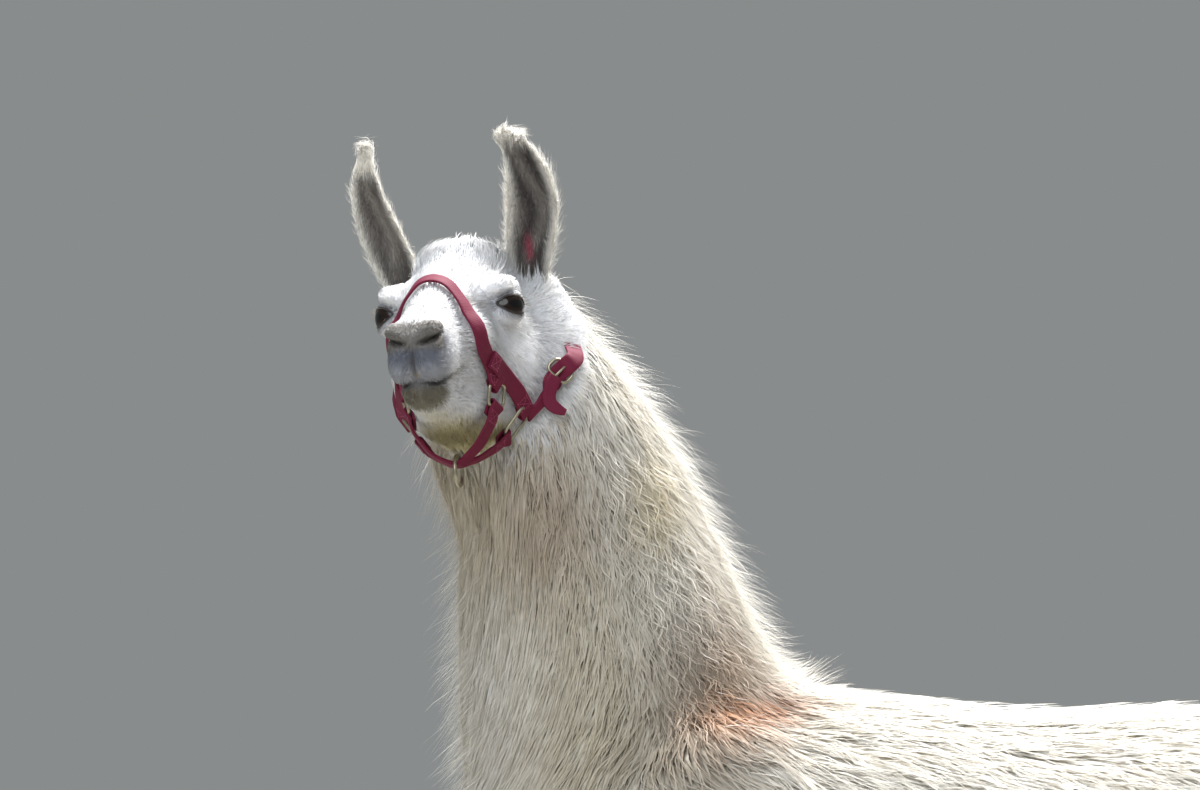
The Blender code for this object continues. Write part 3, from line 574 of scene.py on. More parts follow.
# painted shadow under the nose pad
tinted(0.65 * near_to((0.170, 0.002, -0.063), 0.014), PAINTED_SHADOW_UNDER_NOSE)
tinted(smooth_step(0.108, 0.132, ahead) * smooth_step(-0.088, -0.094, upward), CHIN_GREY)
for side in (1, -1):
    for fold, half_width, strength, colour in (
        (WING_OF_NOSE, 0.0085, 1.0, NOSE_PAD),
        (LOWER_LIP, 0.0085, 0.7, LIP_BROWN),
        (MOUTH, 0.0055, 0.8, LIP_BROWN),
        # painted shade along the line of the mouth
        (MOUTH, 0.0036, 1.2, SHADE_IN_NOSTRILS_AND_MOUTH),
        (TEAR_LINE, 0.0045, 0.8, TEAR_STAIN),
    ):
        tinted(strength * bump(places, fold, half_width, side), colour)
pad = smooth_step(0.138, 0.152, ahead) * smooth_step(-0.024, -0.032, upward)
pad *= smooth_step(-0.060, -0.052, upward) * on_head_part
tinted(0.85 * pad, NOSE_PAD)
tinted(0.6 * bump(places, CLEFT_OF_LIP, 0.0035), LIP_BROWN)
for side in (1, -1):
    # painted shade in the slits of the nostrils
    tinted(1.3 * bump(places, NOSTRIL, 0.0030, side), SHADE_IN_NOSTRILS_AND_MOUTH)
for spot, radius, strength, colour in (
    ((0.161, 0.001, -0.081), 0.0030, 0.80, STRAW_STAIN),
    ((0.018, 0.0, -0.124), 0.0040, 0.70, CHIN_GREY),
    ((0.135, 0.004, -0.014), 0.0060, 0.35, EAR_PINK),
):
    tinted(strength * near_to(spot, radius), colour)
tinted(0.75 * smooth_step(0.0085, 0.0020, lid_way), LID_GREY)
tinted(smooth_step(0.0030, 0.0012, lid_way), LIP_BROWN * 0.5)

# Ears: dark hair in the hollows, deepened with painted shade and streaked with pale hair,
# and one sore streak low in the left one.
hollow = smooth_step(0.5, 0.9, on_ears) * smooth_step(0.0, 0.35, inward)
hollow *= smooth_step(0.80, 0.42, np.abs(ear_across)) * smooth_step(0.004, 0.03, upward)
hollow_ends = np.where(leftward > 0, 0.178, 0.160)  # how far up each ear the dark goes
hollow *= smooth_step(hollow_ends + 0.008, hollow_ends - 0.012, upward)
wander = 2 * np.sin(45 * upward) + 1.5 * np.sin(110 * ahead)
pale = 0.55 * (0.5 + 0.5 * np.sin(7 * ear_across + wander)) + 0.30 * (leftward < 0)
# dark hair and painted shade in each ear's hollow
tinted(hollow, EAR_HOLLOW_HAIR_AND_SHADE)
tinted(hollow * pale * smooth_step(0.02, 0.09, upward), EAR_PALE)
SORE = [(-0.106, 0.0620, 0.082), (-0.105, 0.0625, 0.070), (-0.104, 0.0645, 0.056)]
tinted(bump(places, SORE, 0.0040) * hollow, EAR_PINK)
tinted(share_of(("foot",), 2) * smooth_step(0.016, 0.004, points[:, 2]), SOLE_GREY)


# ------------------------------------------------- the unwrap
# Each part's faces are laid out flat by the way they face, and the sheets are packed side
# by side in a square. The head's and the ears' are larger, for their finer markings.
PATTERN_SCALE = {"head": 2.4, "lower_jaw": 2.4, "ear": 2.0}
SHEET_GAP = 0.02


def unwrapped():
    """A place in the unit square for each corner of each face of the hide."""
    corners, cross = crosses_of(points, faces)
    owner = node_at[faces[:, 0]]
    kinds = sorted({name if part_of(name) != "lower_jaw" else "head" for name in FLESH})
    kind_of = np.array([kinds.index("head" if n == "lower_jaw" else n) for n in FLESH])
    facing_axis = np.abs(cross).argmax(1)
    sheet = kind_of[owner] * 6 + facing_axis * 2 + (cross[np.arange(len(cross)), facing_axis] > 0)
    flat = np.zeros((len(faces), 3, 2))
    boxes = []
    for key in np.unique(sheet):
        chosen = sheet == key
        scale = PATTERN_SCALE.get(part_of(kinds[key // 6]), 1.0)
        axes = [axis for axis in range(3) if axis != key % 6 // 2]
        flat[chosen] = corners[chosen][:, :, axes] * scale
        flat[chosen] -= flat[chosen].min((0, 1))
        boxes.append((key, *flat[chosen].max((0, 1))))
    boxes.sort(key=lambda box: -box[2])
    width = 1.15 * math.sqrt(sum((w + SHEET_GAP) * (h + SHEET_GAP) for _, w, h in boxes))
    x = y = shelf = 0.0
    for key, w, h in boxes:
        if x + w > width:
            x, y, shelf = 0.0, y + shelf + SHEET_GAP, 0.0
        flat[sheet == key] += (x, y)
        x, shelf = x + w + SHEET_GAP, max(shelf, h)
    return 0.005 + flat * 0.99 / max(width, y + shelf)


hide_uv = unwrapped()


# ------------------------------------------------- materials of hide and coat
# Skin with short down on it, and the wool that grows from it. The markings that the points
# carry give both their colours, a little patchy as in a coat that isn't quite clean.
def add(tree, kind, links=None, values=None, **settings):
    """A new node with its settings, its inputs' values and the sockets linked to them."""
    made = tree.nodes.new(kind)
    for key, value in settings.items():
        setattr(made, key, value)
    for key, value in (values or {}).items():
        made.inputs[key].default_value = value
    for key, socket in (links or {}).items():
        tree.links.new(socket, made.inputs[key])
    return made


def new_material(name, roughness, **values):
    """A new material with its tree and its Principled shader."""
    material = bpy.data.materials.new(name)
    material.use_nodes = True
    tree = material.node_tree
    shader = tree.nodes["Principled BSDF"]
    shader.inputs["Roughness"].default_value = roughness
    for key, value in values.items():
        shader.inputs[key.replace("_", " ")].default_value = value
    return material, tree, shader


def coat_colours(tree, shader, patches_per_metre, contrast):
    """Feeds the markings to a shader, with slightly warmer and duller patches."""
    place = add(tree, "ShaderNodeTexCoord").outputs["Object"]
    marks = add(tree, "ShaderNodeAttribute", attribute_name="marking").outputs["Color"]
    patches = add(
        tree, "ShaderNodeTexNoise", {"Vector": place},
        {"Scale": patches_per_metre, "Detail": 3.0, "Roughness": 0.6},
    )
    low, high = 1.0 - contrast, 1.0 + 0.3 * contrast
    ramp = add(tree, "ShaderNodeValToRGB", {"Fac": patches.outputs["Fac"]})
    for element, position, colour in zip(
        ramp.color_ramp.elements, (0.35, 0.65), ((low, 0.985 * low, 0.955 * low), 3 * (high,)),
    ):
        element.position, element.color = position, (*colour, 1)
    tint = add(
        tree, "ShaderNodeMix", {"A": marks, "B": ramp.outputs["Color"]},
        {"Factor": 1.0}, data_type="RGBA", blend_type="MULTIPLY",
    )
    tree.links.new(tint.outputs["Result"], shader.inputs["Base Color"])
    return place


SPREAD = (1.0, 0.95, 0.9)  # how far red, green and blue light spread in hide and wool

# Llama hide with its down: dull, slightly pink-white, and finely furrowed by the hair, with
# the furrows about a millimetre apart.
HIDE, tree, shader = new_material(
    "llama_hide", 0.75, Subsurface_Weight=0.4, Subsurface_Scale=0.006, Subsurface_Radius=SPREAD,
)
place = coat_colours(tree, shader, 45.0, 0.10)
furrows = add(tree, "ShaderNodeTexNoise", {"Vector": place}, {"Scale": 900.0, "Detail": 2.0})
relief = add(
    tree, "ShaderNodeBump", {"Height": furrows.outputs["Fac"]},
    {"Strength": 0.35, "Distance": 0.0006},
)
tree.links.new(relief.outputs["Normal"], shader.inputs["Normal"])

# Llama wool: silky scaled fibre, softly shining, whiter at the tips, with painted shade
# darkening the tufts towards their roots.
WOOL, tree, shader = new_material(
    "llama_wool", 0.62, Specular_IOR_Level=0.25, Subsurface_Weight=0.5,
    Subsurface_Scale=0.005, Subsurface_Radius=SPREAD,
)
coat_colours(tree, shader, 60.0, 0.12)


def surface(name, points, faces, material, slot, colours=None, uv=None):
    """A mesh piece of triangles on the root body."""
    mesh = bpy.data.meshes.new(name)
    mesh.vertices.add(len(points))
    mesh.vertices.foreach_set("co", np.asarray(points, np.float32).ravel())
    mesh.loops.add(faces.size)
    mesh.loops.foreach_set("vertex_index", np.asarray(faces, np.int32).ravel())
    mesh.polygons.add(len(faces))
    mesh.polygons.foreach_set("loop_start", np.arange(0, faces.size, 3, dtype=np.int32))
    mesh.update(calc_edges=True)
    mesh.shade_smooth()
    if colours is not None:
        rgba = np.column_stack([colours, np.ones(len(colours))])
        layer = mesh.color_attributes.new("marking", "FLOAT_COLOR", "POINT")
        layer.data.foreach_set("color", rgba.astype(np.float32).ravel())
    if uv is not None:
        layer = mesh.uv_layers.new(name="OFBake")
        layer.uv.foreach_set("vector", np.asarray(uv, np.float32).ravel())
    mesh.materials.append(material)
    made = placed(name, mesh)
    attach(made, "root")
    return made


skin = surface("skin", points, faces, HIDE, "wool", marking, hide_uv)
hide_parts(*FLESH)


# ------------------------------------------------- the coat
# Hair and wool in tufts, each a thin three-sided lock that leaves the hide, lies along the
# body and ends in a point. Neighbours draw together and wave together, as locks do.
COAT = {  # length, width, sideways wave, and how far the tips stand off, as shares of depth
    "head": (0.0125, 0.0010, 0.0, 0.85),
    "lower_jaw": (0.0150, 0.0011, 0.0, 0.9),
    "ear": (0.0110, 0.0008, 0.0, 1.2),
    "neck": (0.0640, 0.0014, 0.0045, 1.45),
    "trunk": (0.0800, 0.0037, 0.0060, 1.35),
    "tail": (0.0950, 0.0035, 0.0060, 1.3),
    "upper_leg": (0.0460, 0.0028, 0.0030, 1.3),
    "lower_leg": (0.0210, 0.0024, 0.0, 1.0),
    "foot": (0.0140, 0.0021, 0.0, 1.0),
}
length, width, wave, stand = (
    by_part({part: row[column] for part, row in COAT.items()}, 25) for column in range(4)
)
rise = stand * coat_depth
short = 1 - 0.58 * smooth_step(0.085, 0.135, ahead) * on_head_part
forelock = smooth_step(0.02, 0.05, upward) * smooth_step(0.02, -0.03, ahead)
short *= 1 + 0.5 * forelock * on_head_part
short *= 1 - 0.55 * smooth_step(0.022, 0.006, lid_way)
short *= 1 - 0.45 * pad
length, rise, width = length * short, rise * short, width * (0.45 + 0.55 * short)
rim = on_ears * smooth_step(0.62, 0.95, np.abs(ear_across)) * smooth_step(0.5, -0.2, inward)
rim = np.maximum(rim, on_ears * smooth_step(0.172, 0.186, places[:, 2]))
rise *= 1 + 1.6 * rim
length *= 1 + 0.5 * rim

LIE = {  # which way the coat lies on each part; the head's rows are on the head's axes
    "head": HEAD_AXES.T @ (-1.0, 0.0, 0.10),
    "lower_jaw": HEAD_AXES.T @ (-0.9, 0.0, -0.35),
    "ear": HEAD_AXES.T @ (-0.1, 0.0, 1.0),
    "neck": (0.0, 0.05, -1.0),
    "trunk": (0.0, 1.0, -0.15),
    "tail": (0.0, 0.35, -1.0),
    "upper_leg": (0.0, 0.20, -1.0),
    "lower_leg": (0.0, 0.05, -1.0),
    "foot": (0.0, -0.35, -1.0),
}
flow = np.array([LIE[part_of(name)] for name in FLESH])[node_at]
crest = smooth_step(0.01, 0.05, upward) * smooth_step(0.03, -0.03, ahead) * on_head_part
flow += crest[:, None] * (HEAD_AXES.T @ (0.3, 0.0, 1.2))
cheek = smooth_step(0.02, -0.06, upward) * smooth_step(0.09, 0.02, ahead) * on_head_part
flow += cheek[:, None] * (HEAD_AXES.T @ (0.1, 0.0, -0.75))
NECK_HEIGHTS, NECK_MIDDLES = (0.91, 1.13, 1.41), (-0.352, -0.413, -0.508)
neck_middle = np.interp(points[:, 2], NECK_HEIGHTS, NECK_MIDDLES)
backward = np.clip((points[:, 1] - neck_middle) / 0.12, -1, 1)  # -1 at the throat, 1 at the nape
low_neck = smooth_step(1.38, 1.12, points[:, 2])
to_nape, to_throat = np.maximum(backward, 0), np.minimum(backward, 0)
flow[:, 1] += on_neck * (0.42 * to_nape + 0.55 * to_throat * low_neck)
sweep = smooth_step(1.22, 1.02, points[:, 2]) * smooth_step(0.5, -0.1, backward)
flow[:, 1] -= on_neck * 0.6 * sweep
on_trunk = share_of(("trunk",), 20)
hanging = smooth_step(0.05, 0.22, flank) * smooth_step(0.62, 0.75, points[:, 2])
flow[:, 2] -= on_trunk * 0.75 * hanging
flow[:, 0] += on_trunk * 0.25 * np.sign(points[:, 0]) * smooth_step(0.25, 0.02, flank)
chest = on_trunk * smooth_step(-0.42, -0.55, points[:, 1])
flow += chest[:, None] * (0.0, -0.9, -1.3)
for centre in EYE_CENTRES.values():
    apart = places - centre
    pull = np.exp(-((np.linalg.norm(apart, axis=1) / 0.030) ** 2))[:, None]
    flow += 1.6 * pull * (unit(apart) @ HEAD_AXES)
flow += 1.3 * rim[:, None] * ear_out
blunt = smooth_step(0.45, 0.80, normals @ FORWARD) * smooth_step(0.10, 0.13, ahead) * on_head_part
parting = np.clip((leftward - 0.004) / 0.012, -1, 1)
lifted = np.where(upward > -0.046, 0.8, -1.0)
spread = np.column_stack([0 * parting, 0.75 * parting, lifted]) @ HEAD_AXES
flow += blunt[:, None] * (4.0 * spread - flow)
flow = laid(blurred(laid(flow, normals), edges, 6), normals)
CURLS = [(0.0, -0.405, 1.365), (0.0, -0.385, 1.290), (0.0, -0.335, 1.160)]  # down the neck
curl_way, _ = distance_to(line_through(CURLS), points * (0.0, 1.0, 1.0))
curly = on_neck * np.exp(-((curl_way / 0.034) ** 2))
throat_side = on_neck * smooth_step(0.05, -0.35, backward)
wave *= (1 + curly) * (1 - 0.7 * throat_side)
crown = smooth_step(0.012, 0.040, upward) * smooth_step(0.01, -0.04, ahead) * on_head_part
ear_roots = np.exp(-((np.hypot(ahead + 0.080, np.abs(leftward) - 0.058) / 0.030) ** 2))
ear_roots *= smooth_step(0.0, 0.02, upward) * smooth_step(0.080, 0.05, upward)
crown += on_head_part * ear_roots

# Nothing grows at the lids' rims, the nostrils, the mouth, the nose's tip and the soles, nor
# on the hide behind the eyeballs.
bare = smooth_step(0.0022, 0.0008, lid_way)
for side in (1, -1):
    bare += 1.5 * bump(places, NOSTRIL, 0.0030, side)
    bare += 1.5 * bump(places, MOUTH, 0.0042, side)
bare += 0.9 * near_to((0.168, 0.0, -0.046), 0.0080)
bare += smooth_step(0.012, 0.004, points[:, 2])
for hand, centre in EYE_CENTRES.items():
    local = (places - centre) @ eye_axes(SIDES[hand]).T
    bare += (np.hypot(local[:, 0], local[:, 1]) < 0.011) & (local[:, 2] > 0)
bare = np.clip(bare, 0, 1)

# Tufts are wider and so fewer where they are seen less, and finer on the trunk's left front.
facing_view = smooth_step(-0.10, 0.02, points[:, 0]) * smooth_step(0.45, 0.05, points[:, 1])
facing_view *= smooth_step(0.80, 1.00, points[:, 2])
width *= 1 + 0.55 * (1 - facing_view) * (1 - on_head_part) * (1 - on_ears)
near_side = smooth_step(-0.05, 0.05, points[:, 0]) * smooth_step(0.80, 0.95, points[:, 2])
width *= 1 - 0.50 * near_side * on_trunk
length *= 1 - 0.15 * near_side * on_trunk

face_areas = 0.5 * np.linalg.norm(crosses_of(points, faces)[1], axis=1)
PATCH = 0.003  # of the unwrap, for one tuft
TUFT_COVER = 0.62  # what a tuft covers, as a share of its length by its width
TUFT_THICK = 0.16  # as a share of its width
ROOT_DEPTH = 0.0006  # how far below the hide a tuft starts
TURN_SPREAD, PHASE_SPREAD = 0.20, 2.5  # how much groups of tufts differ in their lie and wave
SIZE_SPREAD, RISE_SPREAD = 0.10, 0.22  # and in their length and height


def nearest(where):
    """The nearest points of the hide, and the faces that they are on."""
    found = [hide_tree.find_nearest(place)[::2] for place in where.tolist()]
    return np.array([f[0] for f in found]), np.array([f[1] for f in found])


def tuft_faces(rings):
    """The triangles of one tuft: three corners to each ring, and a tip."""
    made = [(2, 1, 0)]
    for ring in range(rings - 1):
        for corner in range(3):
            low, beside = ring * 3 + corner, ring * 3 + (corner + 1) % 3
            made += [(low, beside, beside + 3), (low, beside + 3, low + 3)]
    last, tip = rings * 3 - 3, rings * 3
    made += [(last + corner, last + (corner + 1) % 3, tip) for corner in range(3)]
    return np.array(made)


def crease_edges(mesh, rings):
    """Creases the two lower edges of each tuft, so that it shades as flat."""
    ends = np.empty(2 * len(mesh.edges), np.int32)
    mesh.edges.foreach_get("vertices", ends)
    spots = ends.reshape(-1, 2) % (rings * 3 + 1)
    corner = np.where(spots == rings * 3, -1, spots % 3)
    creased = (corner[:, 0] == corner[:, 1]) | (corner.min(1) == -1)
    creased &= corner.max(1) < 2
    name = "sharp_edge"
    layer = mesh.attributes.get(name) or mesh.attributes.new(name, "BOOLEAN", "EDGE")
    layer.data.foreach_set("value", creased)


def tufts(name, parts, layers, rings, clump, pull, seed, slot="wool", pieces=1, long=1.0,
          wide=1.0, low=0.55, high=1.05, curve=2.0, wavelength=0.030, stray=1.0, where=None):
    """Covers some parts of the hide with that many layers of tufts.

    Each tuft has that many three-cornered rings and a tip. clump is the size of the groups
    that lie and wave together, and pull is how far their tips draw together. long and wide
    are shares of the coat's length and width; low and high, of its depth, where the tips
    end; stray is how much neighbours differ in their lie; where is how much of the tufts
    each point of the hide gets.
    """
    rng = np.random.default_rng(seed)
    covered = np.isin([part_of(n) for n in FLESH], parts)[node_at[faces[:, 0]]]
    lengths, widths, bareness = (field[faces].mean(1) for field in (length, width, bare))
    expected = layers * face_areas * covered * (1 - bareness)
    expected /= TUFT_COVER * lengths * widths * long * wide
    if where is not None:
        expected *= where[faces].mean(1)
    count = np.floor(expected + rng.random(len(expected))).astype(int)
    face = np.repeat(np.arange(len(faces)), count)
    a, b = rng.random((2, len(face)))
    a, b = np.where(a + b > 1, 1 - a, a), np.where(a + b > 1, 1 - b, b)
    weights = np.column_stack([1 - a - b, a, b])

    def here(field):
        return np.einsum("nk,nk...->n...", weights, field[faces[face]])

    root, normal, way = here(points), unit(here(normals)), here(flow)
    groups = max(1, int(face_areas[covered].sum() / clump**2))
    centres = root[rng.choice(len(root), groups)]
    seeds = KDTree(groups)
    for index, centre in enumerate(centres):
        seeds.insert(centre, index)
    seeds.balance()
    group = np.array([seeds.find(place)[1] for place in root.tolist()])
    spreads = np.array([TURN_SPREAD * stray, PHASE_SPREAD, SIZE_SPREAD, RISE_SPREAD * stray])
    group_turn, group_phase, group_size, group_rise = (
        rng.normal(0, 1, (4, len(centres))) * spreads[:, None]
    )
    turn = group_turn[group] + rng.normal(0, 0.10 * stray, len(root))
    side = np.cross(normal, way)
    way = laid(way * np.cos(turn)[:, None] + side * np.sin(turn)[:, None], normal)
    reach = here(length) * long * (1 + group_size[group]) * rng.uniform(0.72, 1.18, len(root))
    top = here(rise) * rng.uniform(low, high, len(root))
    top *= np.clip(1 + group_rise[group], 0.5, 1.6)
    sway = here(wave) * rng.uniform(0.6, 1.3, len(root))
    thick = here(width) * wide * rng.uniform(0.7, 1.25, len(root))
    phase = group_phase[group] + rng.normal(0, 0.5, len(root))
    towards = laid(centres[group] - root, normal)
    towards *= (np.linalg.norm(centres[group] - root, axis=1) * pull)[:, None]

    on_hide, up, path = root, normal, []
    for ring in range(rings + 1):
        t = ring / rings
        height = top * (1 - (1 - t) ** curve) - ROOT_DEPTH * (t == 0)
        swing = sway * t * np.sin(2 * np.pi * reach * t / wavelength + phase)
        side = np.cross(up, way)
        path.append(on_hide + up * height[:, None] + side * swing[:, None] + towards * t**1.4)
        if ring < rings:
            on_hide, hit = nearest(on_hide + way * (reach / rings)[:, None])
            up = unit(normals[faces[hit]].mean(1))
            way = laid(way + 0.35 * flow[faces[hit]].mean(1), up)
    path = np.array(path)  # ring, tuft, axis
    along = unit(np.gradient(path, axis=0))
    across = unit(np.cross(normal[None], along))
    over = np.cross(along, across)
    roll = rng.normal(0, 0.20 * stray, len(root))[:, None]
    across, over = (
        across * np.cos(roll) + over * np.sin(roll),
        over * np.cos(roll) - across * np.sin(roll),
    )
    t = np.arange(rings)[:, None] / rings
    girth = (thick * (0.55 + 1.8 * t * (1 - t)) * (1 - t**2.2))[..., None]
    shape = [path[:-1] - across[:-1] * girth / 2, path[:-1] + across[:-1] * girth / 2,
             path[:-1] + over[:-1] * girth * TUFT_THICK]
    body = np.array(shape).transpose(2, 1, 0, 3).reshape(len(root), rings * 3, 3)
    made = np.concatenate([body, path[-1][:, None]], axis=1)

    pattern = tuft_faces(rings)
    shade = here(marking) * (1 + stray * rng.uniform(-0.06, 0.04, len(root)))[:, None]
    deep = np.append(np.repeat(np.arange(rings) / rings, 3), 1.0)
    # darker towards each tuft's root: painted shade between the tufts
    colours = shade[:, None, :] * (0.96 + 0.07 * deep**0.6)[None, :, None]
    spot = np.einsum("nk,nkd->nd", weights, hide_uv[face])
    offset = np.column_stack([np.append(np.tile((-0.5, 0.5, 0.0), rings), 0.0), deep - 0.5])
    patch = spot[:, None, :] + PATCH * offset[pattern.ravel()][None]
    order = np.argsort(root[:, 1], kind="stable")
    for part, chosen in enumerate(np.array_split(order, pieces)):
        verts = made[chosen].reshape(-1, 3)
        base = np.arange(len(chosen))[:, None, None] * (rings * 3 + 1)
        piece = f"{name}_{part + 1}" if pieces > 1 else name
        piece = surface(piece, verts, (base + pattern).reshape(-1, 3), WOOL, slot,
                        np.clip(colours[chosen].reshape(-1, 3), 0, 1),
                        patch[chosen].reshape(-1, 2))
        crease_edges(piece.data, rings)


tufts("head_hair", ("head", "lower_jaw"), 1.25, 2, 0.006, 0.3, 11, "short_hair", pieces=2,
      low=0.65, high=0.95, stray=0.55)
tufts("crown_hair", ("head",), 2.0, 4, 0.008, 0.5, 18, "short_hair", long=1.9, wide=0.9,
      low=0.8, high=1.7, curve=1.4, stray=0.8, where=crown)
tufts("ear_hair", ("ear",), 1.25, 2, 0.004, 0.3, 12, "ear_hair", stray=0.6)
tufts("ear_fringe", ("ear",), 3.1, 3, 0.004, 0.2, 19, "ear_hair", long=1.15, wide=0.45,
      low=0.7, high=2.1, curve=1.3, where=rim)
tufts("neck_underwool", ("neck",), 2.8, 2, 0.020, 0.3, 21, wide=3.4, long=0.8, low=0.45,
      high=0.75, stray=0.4)
tufts("neck_silk", ("neck",), 4.6, 3, 0.018, 0.5, 13, pieces=2, low=0.62, high=0.98,
      long=1.35, wide=0.86, stray=0.5, where=throat_side)
tufts("neck_wool", ("neck",), 2.5, 6, 0.017, 0.8, 24, pieces=3, low=0.5, high=1.12,
      stray=1.0, wavelength=0.060, where=1 - throat_side)
tufts("neck_locks", ("neck",), 1.6, 9, 0.014, 0.9, 25, long=0.85, wide=0.9, low=1.1, high=1.9,
      stray=1.8, wavelength=0.034, where=curly)
outline_side = on_neck * smooth_step(0.60, 0.25, np.abs(normals[:, 0]))
tufts("nape_flyaways", ("neck",), 0.8, 3, 0.012, 0.4, 22, wide=0.34, long=0.7, low=1.4,
      high=3.4, curve=1.3, where=outline_side * (1 - throat_side) + 0.03)
tufts("throat_fringe", ("neck",), 0.85, 4, 0.014, 0.5, 26, wide=0.40, long=0.7, low=1.4,
      high=3.6, curve=1.15, where=outline_side * throat_side)
tufts("trunk_underwool", ("trunk",), 1.8, 2, 0.030, 0.3, 23, wide=3.2, low=0.2, high=0.6)
tufts("trunk_wool", ("trunk",), 1.55, 3, 0.026, 0.7, 14, pieces=2, low=0.5, high=1.05,
      wavelength=0.06, stray=0.8)
tufts("tail_wool", ("tail",), 4.0, 4, 0.025, 0.5, 15)
tufts("upper_leg_wool", ("upper_leg",), 1.9, 3, 0.016, 0.5, 16)
tufts("lower_leg_hair", ("lower_leg", "foot"), 1.15, 2, 0.008, 0.3, 17)


# ------------------------------------------------- eyes, lids' rims and lashes
# Dark wet eyeballs with level slots for pupils, in their sockets behind the lids, the bare
# dark rims of the lids, and the long lashes that grow from the upper ones.
def lofted(rings, closed=False):
    """Points and triangles through rings of points, capped unless they close on themselves."""
    rings = np.asarray(rings, float)
    count, sides = rings.shape[:2]
    ring, corner = np.meshgrid(
        np.arange(count if closed else count - 1), np.arange(sides), indexing="ij"
    )
    after, beside = (ring + 1) % count * sides, (corner + 1) % sides
    a, b, c, d = ring * sides + corner, ring * sides + beside, after + beside, after + corner
    made = np.concatenate([np.stack([a, b, c], -1), np.stack([a, c, d], -1)]).reshape(-1, 3)
    points = rings.reshape(-1, 3)
    if not closed:
        points = np.vstack([points, rings[0].mean(0), rings[-1].mean(0)])
        first, second = np.arange(sides), (np.arange(sides) + 1) % sides
        last = (count - 1) * sides
        made = np.vstack([
            made,
            np.column_stack([second, first, np.full(sides, len(points) - 2)]),
            np.column_stack([last + first, last + second, np.full(sides, len(points) - 1)]),
        ])
    inside = points[made] - points.mean(0)
    volume = np.sum(inside[:, 0] * np.cross(inside[:, 1], inside[:, 2]))
    return points, made if volume > 0 else made[:, ::-1]


def merged(parts):
    """Points and triangles of several surfaces as one."""
    points, faces, first = [], [], 0
    for part_points, part_faces in parts:
        points.append(part_points)
        faces.append(part_faces + first)
        first += len(part_points)
    return np.vstack(points), np.vstack(faces)


def round_rod(path, radius, away, closed=False, sides=10):
    """A round rod along a path, its radius one number or one for each point."""
    path = np.asarray(path, float)
    if closed:
        along = unit(np.roll(path, -1, 0) - np.roll(path, 1, 0))
    else:
        along = unit(np.gradient(path, axis=0))
    over = laid(away, along)
    across = np.cross(along, over)
    turn = (2 * np.pi * np.arange(sides) / sides)[None, :, None]
    radius = np.broadcast_to(radius, len(path))[:, None, None]
    ring = np.cos(turn) * over[:, None] + np.sin(turn) * across[:, None]
    return lofted(path[:, None] + radius * ring, closed)


# Eyeball: dark brown and all but black, under a clear wet cornea.
EYEBALL, tree, shader = new_material("wet_eyeball", 0.16, Specular_IOR_Level=0.4)
marks = add(tree, "ShaderNodeAttribute", attribute_name="marking").outputs["Color"]
tree.links.new(marks, shader.inputs["Base Color"])
# Rim of the lid: bare, dark and a little wet.
LID_SKIN = new_material("bare_lid", 0.35, Base_Color=(*paint("#2e2728"), 1))[0]
